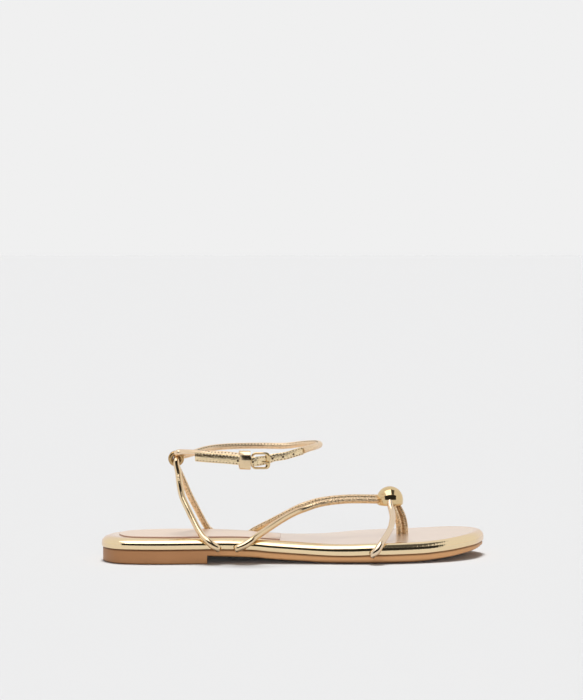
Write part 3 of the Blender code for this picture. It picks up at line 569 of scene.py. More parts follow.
# %% Gold foil
FOIL, FOIL_TOP = (0.88, 0.70, 0.44), (0.83, 0.67, 0.51)
foil, tree, shader = finish("platform_gold", FOIL, 0.16, 1.0,
                            {"Specular Tint": (0.95, 0.90, 0.94, 1.0), "Coat Roughness": 0.05})
place = place_of(tree)
swell, grain = noise(place, 90.0, 3.0, 0.55), noise(place, 1400.0, 2.0)
ticks = noise(place, (900.0, 120.0, 120.0), 2.0)
forward = axes(place)[0]
worked = forward.window(-0.019, -0.006, 0.006) + forward.window(0.156, 0.182, 0.006)
on_top = axes(run_of(tree))[1].rise(0.3, 1.2)
wire(shader, "Roughness", 0.04 + swell * 0.08 + on_top * 0.26)
wire(shader, "Metallic", 1.0 - on_top * 0.22)
wire(shader, "Coat Weight", on_top * 0.4)
wire(shader, "Base Color", mix_colour(on_top, FOIL, FOIL_TOP))
relief = bump(ticks * worked, 0.0002, 0.5, bump(swell, 0.0004, 0.12))
wire(shader, "Normal", bump(grain, 0.00003, 0.25, relief))

# %% Platform
WRAP_EDGE = ((0.9, 0.0), (0.35, 0.12), (0.08, 0.42), (0.0, 0.9))    # inset and height of its lower edge
RIM_RINGS = 20

base_z = seam_height(x_ring) + SEAM_GAP / 2
rim_top = seam_height(x_ring) + PLATFORM_THICKNESS
profile = [sole_ring(inset, base_z + height) for inset, height in WRAP_EDGE]
profile += [sole_ring(rim_reach(x_ring) * (1 - math.cos(turn)), rim_top - RIM_ROUND * (1 - math.sin(turn)))
            for turn in np.linspace(0.0, math.pi / 2, RIM_RINGS)]
rings = np.concatenate([cap_rings(profile[0], lambda x: seam_height(x) + SEAM_GAP / 2, top=False),
                        np.array(profile),
                        cap_rings(profile[-1], lambda x: seam_height(x) + PLATFORM_THICKNESS)])
inwards = np.concatenate([np.zeros(CAP_RINGS + len(profile)), np.arange(1.0, CAP_RINGS + 1.0)])
add_piece(grid_mesh("platform_wrap", rings, along=inwards, sharp=60.0), foil, ["platform"])

# %% [markdown]
# ## Sock lining
# A thin panel of paler foil leather glued over heel and waist. Its front end is cut straight. The raw cut
# edge is darker and pinkish, and casts a thin line on the platform.

# %% Sock lining
SOCK_INSET, SOCK_BACK_INSET, SOCK_FRONT_INSET = 5.5, 11.8, 9.5
SOCK_FRONT, SOCK_SLANT, SOCK_THICKNESS = 113.0, 4.0, 0.65
SOCK_ROWS, SOCK_COLUMNS = 60, 25
SOCK_EDGE = (-0.3, 0.2, SOCK_THICKNESS)     # heights of the cut edge over the platform

sock, tree, shader = finish("sock_rose_gold", (0.82, 0.65, 0.52), 0.34, 0.6)
grain = noise(place_of(tree), 700.0, 3.0)
wire(shader, "Roughness", 0.30 + grain * 0.14)
wire(shader, "Normal", bump(grain, 0.00004, 0.5))
cut_edge = finish("sock_cut_edge", (0.50, 0.29, 0.21), 0.6)[0]

narrow = np.clip((x_ring - HEEL_BREAST) / (SOCK_FRONT - HEEL_BREAST), 0.0, 1.0)
flat = OUTLINE + INWARD * (SOCK_INSET + (SOCK_FRONT_INSET - SOCK_INSET) * narrow)[:, None]
flat[:, 0] += (SOCK_BACK_INSET - SOCK_INSET) * np.clip(1.0 - flat[:, 0] / HEEL_BREAST, 0.0, 1.0)


def sock_side(run, front, reach, side):
    """One long side of the panel: its places as far as the front, then the corner, at even shares."""
    corner = (front, float(np.interp(front, STATION_X, reach)) - side * SOCK_FRONT_INSET)
    run = np.vstack([run[run[:, 0] < front - 1.0], corner])
    share, own = np.linspace(0.0, 1.0, SOCK_ROWS), np.linspace(0.0, 1.0, len(run))
    return np.stack([np.interp(share, own, run[:, i]) for i in (0, 1)], 1)


def sock_layer(flat, lift):
    return np.concatenate([flat, (seam_height(flat[..., 0]) + PLATFORM_THICKNESS + lift)[..., None]], -1)


outer_places, inner_places = flat[:len(STATION_X)], np.vstack([flat[:1], flat[:len(STATION_X) - 1:-1]])
outer = sock_side(outer_places, SOCK_FRONT, OUTER_Y, -1.0)
inner = sock_side(inner_places, SOCK_FRONT + SOCK_SLANT, INNER_Y, 1.0)
width = np.linspace(0.0, 1.0, SOCK_COLUMNS)[None, :, None]
top = outer[:, None] * (1 - width) + inner[:, None] * width
rim = np.concatenate([top[:, 0], top[-1, 1:-1], top[::-1, -1], top[0, -2:0:-1]])
panel = grid_mesh("sock_panel", sock_layer(top, SOCK_THICKNESS), around=False)
panel_edge = grid_mesh("sock_panel_edge", [sock_layer(rim, lift) for lift in SOCK_EDGE])
add_piece(panel, sock, ["sock_lining"])
add_piece(panel_edge, cut_edge)

# %% [markdown]
# ## Rolled cords
# Each cord is a strip of foil leather folded round a round filler and sewn shut along one side. The shape is
# a circle carried along a smooth line. The seam is a shallow groove at one place of the circle, and each cord
# is told which way that place looks. Small creases run across the cord, because leather wrinkles when it is
# bent round a filler: they are sums of a few waves in the radius, so the mirror lines on the cord wander as
# they do on the real one.

# %% Cord foil
CORD_GOLD = (0.82, 0.63, 0.40)
WRINKLED_GOLD = (0.95, 0.73, 0.48)
CREVICE_SHADE = (0.40, 0.22, 0.09)
RUNG_PITCH = 1.25


def cord_finish(name, colour, roughness, wrinkles=(), rungs=(), amount=1.0):
    """Foil leather drawn round a cord, with colour and roughness of its smooth part. wrinkles are pairs of
    millimetres along the cord between which the leather turns from smooth to wrinkled, or back if the first
    is the larger. rungs are stretches with ridges across, where the leather is gathered by its seam. They
    show only on a cord that has wrinkles."""
    made, tree, shader = finish(name, colour, roughness, 1.0)
    run = run_of(tree)
    along = axes(run)[1]
    crease = noise(run, (5.0, 1.1, 1.0), 3.0, 0.6)
    fine = noise(run, (26.0, 3.4, 1.0), 2.0, 0.6)
    dimple = noise(run, (11.0, 0.95, 1.0), 2.0, 0.6)
    normal = bump(fine, 0.00003, 0.5, bump(crease, 0.0002, 0.25))
    if wrinkles:
        share = sum(along.rise(low, high) * amount for low, high in wrinkles)
        paint = mix_colour(share, colour, WRINKLED_GOLD)
        # Painted shade in the hollows of the wrinkles.
        paint = mix_colour(dimple.rise(0.50, 0.41) * share * 0.65, paint, CREVICE_SHADE)
        gathered = 0.0
        for low, high in rungs:
            ridge = along.math("SINE", along * (2 * math.pi / RUNG_PITCH))
            stretch = along.window(low, high, 1.0)
            gathered = ridge * stretch * 0.5 + gathered
            # Painted shade in the troughs between the ridges.
            paint = mix_colour(ridge.rise(-0.2, -0.8) * stretch * 0.6, paint, CREVICE_SHADE)
        wire(shader, "Base Color", paint)
        wire(shader, "Roughness", share * 0.20 + fine * 0.08 + roughness - 0.04)
        normal = bump(dimple * share + gathered, 0.0009, 0.7, normal)
    else:
        wire(shader, "Roughness", fine * 0.12 + roughness - 0.04)
    wire(shader, "Normal", normal)
    return made


thread = finish("gold_thread", (0.50, 0.32, 0.14), 0.45, 0.4)[0]
pale_thread = finish("pale_gold_thread", (0.80, 0.64, 0.42), 0.45, 0.3)[0]
# Near black: painted shade for the inside of needle holes and punched holes.
needle_hole_shade = finish("needle_hole_shade", (0.05, 0.025, 0.01), 0.8)[0]

# %% Circle along a line
SIDES = 36
STEP = 0.45
GROOVE_ANGLE = 0.2
Cord = namedtuple("Cord", "mesh centre tangent out radius along")


def distances(line):
    """The distance along a line at each of its places."""
    return np.concatenate([[0.0], np.cumsum(np.linalg.norm(np.diff(line, axis=0), axis=1))])


def with_ends(centre, places):
    """The rings with one more at each end, where all places meet in the middle."""
    first, last = (np.repeat(centre[i][None, None], places.shape[1], axis=1) for i in (0, -1))
    return np.concatenate([first, places, last])


def waves(along, round_, seed, count=7, length=(3.0, 11.0)):
    """A sum of sine waves over the distance along a cord and the angle round it, each with its own length,
    slant and start, scaled to about 1 at most."""
    dice = np.random.default_rng(seed)
    total = 0.0
    for _ in range(count):
        wave = 2 * math.pi / dice.uniform(*length)
        total = total + np.sin(along * wave + dice.integers(-2, 3) * round_ + dice.uniform(0, 2 * math.pi))
    return total / count


def tube(name, rows, facing, crease=0.006, groove=0.07, seed=1, sides=SIDES, step=STEP):
    """A tube along rows of forward, side, height and radius.

    facing is the way that the seam looks: one vector, or rows of a share of the length and a vector. At each
    place the part of it that is square to the run is the circle's first direction, and the cross product of
    the two is its second. Radius times the cosine and the sine of the angle along these gives the circle.
    """
    line = spaced(spline(rows), step)
    centre, radius = line[:, :3], line[:, 3]
    along = distances(centre)
    tangent = unit(np.gradient(centre, axis=0))
    facing = np.atleast_2d(np.array(facing, float))
    if facing.shape[1] == 4:
        facing = np.stack([np.interp(along / along[-1], facing[:, 0], facing[:, i]) for i in (1, 2, 3)], 1)
    out = unit(facing - tangent * np.sum(facing * tangent, axis=1, keepdims=True))
    side = np.cross(tangent, out)
    angle = np.linspace(-math.pi, math.pi, sides, endpoint=False)[None, :]
    size = radius[:, None] * (1 + crease * waves(along[:, None], angle, seed)
                              - groove * np.exp(-(angle / GROOVE_ANGLE) ** 2))
    places = centre[:, None] + size[..., None] * (np.cos(angle)[..., None] * out[:, None]
                                                  + np.sin(angle)[..., None] * side[:, None])
    run = np.concatenate([[0.0], along, along[-1:]])
    mesh = grid_mesh(name, with_ends(centre, places), along=run, sharp=70.0)
    return Cord(mesh, centre, tangent, out, radius, along)


# %% [markdown]
# ## Stitches
# The seam is closed with a running stitch. Each stitch is a small rounded bar of thread that lies in the
# groove, and between two stitches is the needle's hole, shown as a dark dot of painted shade. One short bar is
# worked out once, and placed at every stitch with an array sum. The dots are very low bars of a near-black
# finish.

# %% Running stitches
STITCH_PITCH = 2.2
STITCH_SIZE = (0.6 * STITCH_PITCH, 0.5, 0.24)                       # length, width and height
THREAD_SEAT = 0.93                          # share of the cord's radius at which the thread lies
POLE = 1e-6                                 # a turn within this of a bar's end is the end itself


def bars(name, centre, along, out, length, width, height, rows=5, columns=8, blunt=1.0):
    """One rounded bar for each place: an ellipsoid with its long axis along the seam and half of it sunk. Its
    thickness is the sine of the turn to the power blunt, so a small power gives a bar with blunt ends."""
    turn = np.linspace(0.0, math.pi, rows)[:, None]
    round_ = np.linspace(0.0, 2 * math.pi, columns, endpoint=False)[None, :]
    thick = np.abs(np.sin(turn)) ** blunt * (turn > POLE) * (turn < math.pi - POLE)
    local = np.stack([-np.cos(turn) + 0.0 * round_, thick * np.cos(round_), thick * np.sin(round_)], -1)
    half = [np.broadcast_to(value, len(centre)) for value in (np.asarray(length) / 2, width / 2, height)]
    local = local[None] * np.stack(half, -1)[:, None, None]
    across = np.cross(along, out)
    places = (centre[:, None, None] + local[..., :1] * along[:, None, None]
              + local[..., 1:2] * across[:, None, None] + local[..., 2:] * out[:, None, None])
    first = np.arange(len(centre))[:, None, None] * rows * columns
    return closed_up(mesh_of(name, places, (first + grid_faces(rows, columns)).reshape(-1, 4)))


def picked(at, along, *columns_of):
    """Rows of vectors read at distances between the rows that they belong to."""
    return [np.stack([np.interp(at, along, values[:, i]) for i in range(3)], 1) for values in columns_of]


def seam_stitches(name, cord, start, end, yarn=thread, dot=0.85):
    """A running stitch in the groove of a cord, from one share of its length to another. dot is the length of
    the needle's dots."""
    at = np.arange(cord.along[-1] * start, cord.along[-1] * end, STITCH_PITCH)
    size = np.interp(at, cord.along, cord.radius)[:, None]
    hole_size = (dot, dot * 0.9, 0.2)
    for kind, shift, bar, material in (("_stitches", 0.0, STITCH_SIZE, yarn),
                                       ("_needle_holes", STITCH_PITCH / 2, hole_size, needle_hole_shade)):
        centre, way, out = picked(at + shift, cord.along, cord.centre, cord.tangent, cord.out)
        out = unit(out)
        seat = centre + out * size * THREAD_SEAT
        add_piece(bars(name + kind, seat, unit(way), out, *bar), material)


# %% [markdown]
# ## Tread
# Ribs run across the dark underside, under heel and ball. Each rib is one bar with blunt ends, as long as the
# sole is wide there, and half of it is sunk in the rubber.

# %% Ribs under the sole
TREAD_PITCH, TREAD_WIDTH = 3.0, 1.5
TREAD_HEEL, TREAD_BALL = (9.0, HEEL_BREAST - 5.0), (112.0, 218.0)   # first and last place of each stretch
TREAD_INSET_HEEL, TREAD_INSET_BALL = 6.0, 13.0

# The ribs are near-black rubber, dark also as painted shade under the sole.
ribbed, tree, shader = finish("ribbed_rubber_and_painted_shade", UNDERSIDE_RUBBER_AND_SHADE, 0.6, 0.0)
scuff = noise(place_of(tree), 160.0, 4.0)
wire(shader, "Base Color", mix_colour(scuff.rise(0.45, 0.65), UNDERSIDE_RUBBER_AND_SHADE, (0.07, 0.06, 0.054)))
wire(shader, "Roughness", 0.5 + scuff * 0.25)

rib_x = np.concatenate([np.arange(*stretch, TREAD_PITCH) for stretch in (TREAD_HEEL, TREAD_BALL)])
inset = np.where(rib_x < HEEL_BREAST, TREAD_INSET_HEEL, TREAD_INSET_BALL)
low, high = np.interp(rib_x, STATION_X, OUTER_Y) + inset, np.interp(rib_x, STATION_X, INNER_Y) - inset
slope = np.gradient(underside(rib_x), rib_x) * (rib_x > HEEL_BREAST)
downwards = unit(np.stack([slope, 0.0 * rib_x, -np.ones(len(rib_x))], 1))
rib_centre = np.stack([rib_x, (low + high) / 2, underside(rib_x) + TREAD_DEPTH], 1)
sideways = np.tile((0.0, 1.0, 0.0), (len(rib_x), 1))
tread = bars("outsole_tread", rib_centre, sideways, downwards, high - low, TREAD_WIDTH, TREAD_DEPTH,
             rows=9, columns=10, blunt=0.2)
add_piece(tread, ribbed)

# %% [markdown]
# ## Where the cords run
# A cord leaves the sole in a tuck: it lies over the rim of the platform, goes down its wall and turns in
# under it. The free runs are shares of the way between two places, so they fit wherever the ends are.

# %% Ends in the sole
TUCK_RADIUS, TUCK_DEPTH, TUCK_HEIGHT = 1.95, 5.0, 0.6
TUCK_NORMALS, TUCK_TURN, TUCK_SQUASH = (58, 30, 4), (0.35, 0.75, 1.15), 0.6
TUCK_SWELL = (0.05, 0.2, 0.35)              # the leather spreads where it is pressed on the rim


def edge_place(x, side, out):
    reach = OUTER_Y if side < 0 else INNER_Y
    return x, float(np.interp(x, STATION_X, reach)) + side * out


def tuck(side, share, lean, height=TUCK_HEIGHT):
    """The end of a cord on the rim, from the top down: places of the rim's ellipse moved out along their
    normals, then a quarter turn in under the board. lean is the forward run for each millimetre of rise."""
    x = share * SOLE_LENGTH
    seam = float(seam_height(x))
    rim = float(rim_reach(x))
    rows = []
    for normal, swell in zip(np.radians(TUCK_NORMALS), TUCK_SWELL):
        radius = CORD_RADIUS + swell
        hug = radius + SEAM_GAP / 2
        part = math.atan(math.tan(normal) * RIM_ROUND / rim)
        lift = PLATFORM_THICKNESS - RIM_ROUND * (1 - math.sin(part)) + hug * math.sin(normal)
        out = hug * math.cos(normal) - rim * (1 - math.cos(part))
        rows.append((*edge_place(x + lean * (lift - height), side, out), seam + lift, radius))
    turn = radius + SEAM_GAP
    for part in TUCK_TURN:
        lift = TUCK_SQUASH * turn * (1 - math.sin(part * math.pi / 2))
        rows.append((*edge_place(x, side, turn * math.cos(part * math.pi / 2)), seam + height + lift,
                     radius + (TUCK_RADIUS - radius) * part))
    rows.append((*edge_place(x, side, -TUCK_DEPTH), seam + height, TUCK_RADIUS))
    return rows


def between(start, end, shares):
    start, end = np.array(start[:3], float), np.array(end[:3], float)
    return start + (end - start) * np.array(shares, float)


def sized(rows, radius=CORD_RADIUS):
    rows = np.atleast_2d(rows)
    return np.column_stack([rows, np.full(len(rows), radius)])


# %% Heel stay
PASS = RING_PASS_SHARE * RING_INNER
HOOK = RING_THICKNESS + HOOK_RADIUS - 0.1
STAY_OUTER_RUN = (
    (0.07, 0.07, 0.12), (0.11, 0.20, 0.27), (0.20, 0.34, 0.44), (0.39, 0.51, 0.60), (0.62, 0.69, 0.77),
    (0.81, 0.85, 0.90),
)
STAY_INNER_RUN = (
    (0.10, 0.08, 0.12), (0.23, 0.20, 0.26), (0.44, 0.37, 0.49), (0.64, 0.55, 0.68), (0.83, 0.77, 0.86),
)
STAY_SEAM = (
    (0.0, 0.7, 0.7, -0.2), (0.42, 0.8, 0.5, 0.0), (0.5, 1.0, 0.0, 0.0), (0.58, 0.5, -0.8, 0.0),
    (1.0, 0.3, -1.0, 0.2),
)
wire_z = RING_CENTRE[2] - RING_MIDDLE
hook = [(RING_CENTRE[0], HOOK * math.cos(a), wire_z + HOOK * math.sin(a), HOOK_RADIUS)
        for a in np.radians((180, 135, 90, 45, 0))]
outer_end, inner_end = tuck(-1, 0.290, -1.17), tuck(1, 0.3096, -1.0)
rows = np.vstack([outer_end[::-1], sized(between(hook[0], outer_end[0], STAY_OUTER_RUN))[::-1], hook,
                  sized(between(hook[-1], inner_end[0], STAY_INNER_RUN)), inner_end])
stay = tube("heel_stay_cord_leather", rows, STAY_SEAM, crease=0.012, seed=11)
stay_length = stay.along[-1]
stay_gold = cord_finish("heel_stay_gold", CORD_GOLD, 0.08,
                        wrinkles=((stay_length * 0.47, stay_length * 0.54),))
add_piece(stay.mesh, stay_gold, ["heel_stay_cord"])
seam_stitches("heel_stay", stay, 0.10, 0.90)
print("heel stay", round(float(stay_length), 1), "mm long")

# %% [markdown]
# ## Ring, bead and buckle
# The metal parts are plated and polished, so they are full mirrors with a trace of haze. The ring's plating is
# painted darker, as painted shade for the dark inside of the ring. The ring is a turned wire, worked out from
# two angles. The bead is a profile turned about an upright axis, and the cords simply run into it, so their
# ends are hidden inside.

# %% Plating
def plating(name, colour, low, spread):
    """Polished plating, with a faint haze between low roughness and low plus spread."""
    made, tree, shader = finish(name, colour, low, 1.0)
    wire(shader, "Roughness", low + noise(place_of(tree), 420.0, 3.0) * spread)
    return made


plated = plating("plated_metal", (0.74, 0.55, 0.30), 0.04, 0.07)
# Its darker colour is painted shade for the dark inside of the ring, and its haze is rougher as well.
ring_plating_painted_shade = plating("ring_plating_with_painted_shade", (0.50, 0.33, 0.15), 0.08, 0.10)

# %% Ring
wide = np.linspace(0.0, 2 * math.pi, 96, endpoint=False)[:, None]
thin = np.linspace(0.0, 2 * math.pi, 24, endpoint=False)[None, :]
reach = RING_MIDDLE + RING_THICKNESS * np.cos(thin)
torus = np.stack([RING_CENTRE[0] + reach * np.cos(wide), RING_THICKNESS * np.sin(thin) + 0.0 * wide,
                  RING_CENTRE[2] + reach * np.sin(wide)], -1)
ring = grid_mesh("back_ring_plated", np.concatenate([torus, torus[:1]]))
add_piece(ring, ring_plating_painted_shade, ["back_ring"])

# %% Runs of the toe cords
BEAD_RADIUS, BEAD_SKIRT, BEAD_EDGE_ROUND, BEAD_BASE = 8.7, 3.7, 1.6, 32.4
BEAD_PLACE = np.array((0.754 * SOLE_LENGTH, 0.215 * SOLE_HALF_WIDTH, BEAD_BASE))
POST_DEPTH = 4.0                            # how deep the toe post goes into the board
THONG_RUN = (
    (0.10, 0.23, 0.29), (0.20, 0.43, 0.58), (0.29, 0.59, 0.80), (0.37, 0.69, 0.95), (0.50, 0.76, 1.16),
    (0.68, 0.85, 1.25), (0.90, 0.95, 1.21), (0.97, 0.97, 1.18),
)
POST_RUN = (
    (0.16, -0.21, -0.05), (0.38, -0.03, 0.10), (0.70, 0.32, 0.32), (0.93, 0.76, 0.58), (0.99, 0.97, 0.83),
    (1.00, 1.00, 1.00),
)
ACROSS_RUN = (
    (0.01, 0.06, -0.33), (0.02, 0.09, -0.30), (0.06, 0.13, -0.21), (0.09, 0.19, -0.05), (0.06, 0.28, 0.15),
    (0.10, 0.42, 0.36), (0.28, 0.58, 0.60), (0.56, 0.76, 0.77),
)
INNER_RUN = ((0.19, 0.27, 0.26), (0.42, 0.51, 0.56), (0.62, 0.69, 0.81), (0.77, 0.77, 0.95))
MEETING = 4                                 # the outer cord's place from which the inner one lies beside it
PAIR = (
    (0.14, 1.14, 0.36), (0.11, 1.00, 0.32), (0.11, 0.98, 0.34), (0.43, 0.93, 0.45), (0.61, 0.75, 0.36),
    (0.79, 0.59, 0.11), (0.88, 0.52, 0.11), (0.91, 0.45, 0.11), (0.93, 0.45, 0.00), (0.93, 0.45, 0.00),
)
foot = (0.7816 * SOLE_LENGTH, 0.288 * SOLE_HALF_WIDTH,
        float(seam_height(0.79 * SOLE_LENGTH)) + PLATFORM_THICKNESS - POST_DEPTH)
outer_end, inner_end, across_end = tuck(-1, 0.340, 1.6), tuck(1, 0.3696, 1.3), tuck(-1, 0.6812, 0.77, 0.5)
outer_run = np.vstack([between(outer_end[0], BEAD_PLACE, THONG_RUN), between(BEAD_PLACE, foot, POST_RUN)])
inner_run = np.vstack([between(inner_end[0], outer_run[MEETING], INNER_RUN),
                       outer_run[MEETING:] + (2 * CORD_RADIUS + CORD_CLEARANCE) * np.array(PAIR)])
across_run = between(BEAD_PLACE, across_end[0], ACROSS_RUN)[::-1]

# %% Toe cords
outer_rows, inner_rows, across_rows = (np.vstack([end[::-1], sized(run)]) for end, run in (
    (outer_end, outer_run), (inner_end, inner_run), (across_end, across_run)))
lateral = tube("thong_cord_lateral_leather", outer_rows,
               ((0.0, 0.3, 1.0, 0.3), (0.6, 0.3, 0.6, 0.5), (1.0, 1.0, 0.6, 0.0)), seed=21)
medial = tube("thong_cord_medial_leather", inner_rows,
              ((0.0, -0.3, -0.7, 0.9), (0.6, 0.2, -1.0, 0.4), (1.0, 0.6, -1.0, 0.0)), crease=0.012, seed=22)
across = tube("forefoot_cord_leather", across_rows, ((0.0, 0.3, 1.0, -0.4), (1.0, 0.2, 1.0, 0.0)), seed=23)
lateral_gold = cord_finish("thong_lateral_gold", CORD_GOLD, 0.08, wrinkles=((62.0, 84.0),), amount=0.85)
medial_gold = cord_finish("thong_medial_gold", CORD_GOLD, 0.18, wrinkles=((-2.0, -1.0),),
                          rungs=((medial.along[-1] - 32.0, medial.along[-1] - 10.0),))
across_gold = cord_finish("forefoot_gold", (0.82, 0.65, 0.47), 0.13)
for cord, gold, solid in ((lateral, lateral_gold, "thong_cord_lateral"),
                          (medial, medial_gold, "thong_cord_medial"), (across, across_gold, "forefoot_cord")):
    add_piece(cord.mesh, gold, [solid])
    print(solid, round(float(cord.along[-1]), 1), "mm long")
seam_stitches("thong_lateral", lateral, 0.08, 0.88)
seam_stitches("thong_medial", medial, 0.08, 0.94)

# %% Bead
turn = np.linspace(0.0, math.pi / 2, 8)
skirt = np.stack([BEAD_RADIUS - BEAD_EDGE_ROUND * (1 - np.sin(turn)),
                  BEAD_EDGE_ROUND * (1 - np.cos(turn))], 1)
turn = np.linspace(0.0, math.pi / 2, 40)
dome = np.stack([BEAD_RADIUS * np.cos(turn), BEAD_SKIRT + BEAD_RADIUS * np.sin(turn)], 1)
profile = np.vstack([[(0.0, 0.0)], skirt, dome])
round_ = np.linspace(0.0, 2 * math.pi, 96, endpoint=False)[None, :]
bead = BEAD_PLACE + np.stack([profile[:, :1] * np.cos(round_), profile[:, :1] * np.sin(round_),
                              profile[:, 1:] + 0.0 * round_], -1)
add_piece(grid_mesh("bead_plated", bead, sharp=50.0), plated, ["bead"])

# %% [markdown]
# ## Ankle strap
# A rolled cord goes from the buckle back through the ring and round the front of the ankle. Its end is sewn
# into the billet, a padded strap with a row of stitches along each edge and punched holes. The billet passes
# the buckle, and its tail is held by a leather loop.

# %% Sizes and runs of the ankle strap
LOOP_LENGTH, LOOP_HALF_WIDTH, LOOP_RISE = 93.0, 27.0, 6.0
BILLET_WIDTH, BILLET_THICKNESS = 5.9, 1.6
BUCKLE_LENGTH, BUCKLE_HEIGHT, BUCKLE_WIRE, BUCKLE_CORNER = 11.6, 10.8, 0.7, 2.4
PRONG_WIRE, BAR_END_RADIUS = 0.55, 1.85
LOOP_OUTER = (
    (0.082, -0.320, 0.43), (0.145, -0.490, 0.43), (0.198, -0.625, 0.42), (0.325, -0.820, 0.38),
    (0.425, -0.925, 0.19),
)
LOOP_FRONT = (
    (0.905, -0.565, 0.85), (0.955, -0.350, 0.95), (0.998, 0.000, 1.02), (0.998, 0.220, 1.06),
    (0.978, 0.425, 1.03), (0.902, 0.705, 0.87), (0.780, 0.905, 0.60), (0.625, 0.980, 0.61),
    (0.440, 0.925, 0.62), (0.310, 0.795, 0.56), (0.222, 0.630, 0.43), (0.148, 0.430, 0.20),
    (0.088, 0.245, 0.00),
)
# Which place of LOOP_OUTER, and the drop from it as a share of the billet's width.
BILLET_TAIL = ((1, 0.34), (2, 0.38), (3, 0.43), (4, 0.36))
BILLET_FRONT = (
    (0.652, -0.940, 0.05), (0.730, -0.926, 0.22), (0.795, -0.835, 0.45), (0.858, -0.700, 0.66),
)
# Turn about the ring's wire in degrees, rise and radius of the cord's fold in the ring.
RING_FOLD = (
    (90, 0.37, CORD_RADIUS + 0.1), (135, 0.34, FOLD_RADIUS), (180, 0.15, FOLD_RADIUS),
    (225, -0.10, RING_PASS_RADIUS), (270, -0.15, RING_PASS_RADIUS),
)
ANKLE_SEAM = (
    (0.0, 0.1, -0.6, 0.8), (0.14, 0.0, -0.8, 0.6), (0.20, 0.0, 0.5, 0.8), (0.26, 0.9, 0.3, 0.7),
    (0.34, 0.1, -0.75, 0.66), (0.75, 0.0, -0.75, 0.66), (0.88, -0.7, 0.0, 0.8), (1.0, -0.5, 0.5, 0.8),
)


def loop_places(rows):
    scaled = np.atleast_2d(rows) * (LOOP_LENGTH, LOOP_HALF_WIDTH, LOOP_RISE)
    return scaled + RING_CENTRE + (0.0, 0.0, PASS)


def outward_of(line):
    """The level way out of the ankle loop at each place of a line along its outer side, and its level run."""
    level = np.gradient(line, axis=0) * (1, 1, 0)
    return np.stack([level[:, 1], -level[:, 0], level[:, 2]], 1)


buckle = loop_places((0.557, -1.037, -0.233))[0]
REAR_BAR = buckle[0] - BUCKLE_LENGTH / 2 + BUCKLE_WIRE
FRONT_BAR = buckle[0] + BUCKLE_LENGTH / 2 - BUCKLE_WIRE
EYE = BUCKLE_WIRE + CORD_CLEARANCE + PRONG_WIRE
loop_outer = loop_places(LOOP_OUTER)
outwards = unit(outward_of(loop_outer))

beside = CORD_RADIUS + CORD_CLEARANCE + BILLET_THICKNESS / 2
over_bar = buckle[1] - EYE - PRONG_WIRE - CORD_CLEARANCE - BILLET_THICKNESS / 2
under_bar = buckle[1] + BUCKLE_WIRE + CORD_CLEARANCE + BILLET_THICKNESS / 2
billet_rows = [loop_outer[i] + outwards[i] * beside - (0, 0, drop * BILLET_WIDTH) for i, drop in BILLET_TAIL]
billet_rows += [(REAR_BAR, over_bar, buckle[2]), (REAR_BAR + 0.28 * BUCKLE_LENGTH, over_bar, buckle[2]),
                (FRONT_BAR, under_bar, buckle[2] + 0.6)]
billet_rows = np.vstack([billet_rows, loop_places(BILLET_FRONT)])
billet_dense = spline(billet_rows)
billet_line = spaced(billet_dense, 0.4)

# %% Ankle cord
fold = RING_PASS_RADIUS + RING_WIRE + 3 * CORD_CLEARANCE
ring_fold = [(RING_CENTRE[0] + fold * (1 + math.cos(math.radians(turn))),
              -fold * math.sin(math.radians(turn)),
              RING_CENTRE[2] + PASS + rise * LOOP_RISE, radius) for turn, rise, radius in RING_FOLD]
forward = unit(billet_dense[-1] - billet_dense[-3])
rows = np.vstack([
    [(REAR_BAR + 0.4, buckle[1], buckle[2], BAR_END_RADIUS), (REAR_BAR, buckle[1], buckle[2], BAR_END_RADIUS),
     (REAR_BAR - CORD_RADIUS, buckle[1] + 0.6, buckle[2] + 0.6, BAR_END_RADIUS)],
    sized(loop_outer[::-1]), ring_fold, sized(loop_places(LOOP_FRONT)[::-1]),
    (*(billet_rows[-1] + forward * 0.1), CORD_RADIUS)])
ankle = tube("ankle_strap_cord_leather", rows, ANKLE_SEAM, crease=0.010, seed=31)
ankle_length = ankle.along[-1]
ankle_gold = cord_finish("ankle_strap_gold", (0.87, 0.665, 0.46), 0.24, amount=0.35,
                         wrinkles=((ankle_length * 0.34, ankle_length * 0.40),
                                   (ankle_length * 0.16, ankle_length * 0.13)))
add_piece(ankle.mesh, ankle_gold, ["ankle_strap_cord"])
seam_stitches("ankle_strap", ankle, 0.02, 0.93, yarn=pale_thread, dot=1.15)
print("ankle cord", round(float(ankle_length), 1), "mm long")

# %% Billet leather
BILLET_GOLD = (0.92, 0.74, 0.47)
billet_gold, tree, shader = finish("billet_gold", BILLET_GOLD, 0.24, 1.0)
run = run_of(tree)
round_share, along_run, _ = axes(run)
wrinkle = noise(run, (13.0, 1.0, 1.0), 3.0, 0.65)
# Painted dark reflection: near the tail's end, the hollows on the upper part of the face are painted near
# black.
tail_painted_reflection = round_share.window(0.02, 0.15, 0.03) * along_run.rise(36.0, 16.0)
# Painted shade in the hollows of the wrinkles.
paint = mix_colour(wrinkle.rise(0.47, 0.38) * 0.35, BILLET_GOLD, (0.30, 0.18, 0.08))
paint = mix_colour(wrinkle.rise(0.62, 0.48) * tail_painted_reflection * 0.95, paint, (0.05, 0.028, 0.010))
wire(shader, "Base Color", paint)
wire(shader, "Roughness", 0.10 + wrinkle * 0.2)
wire(shader, "Normal", bump(wrinkle, 0.0005, 0.6))

# %% Billet
STRAP_HALF_DEPTH, STRAP_HALF_WIDTH_TAIL, STRAP_HALF_WIDTH_FRONT = 0.9, 3.0, 2.5
NARROWING, NARROWING_LENGTH = 0.58, 0.15    # shares of the length where the strap narrows to its front
FACE_POWER = 0.8


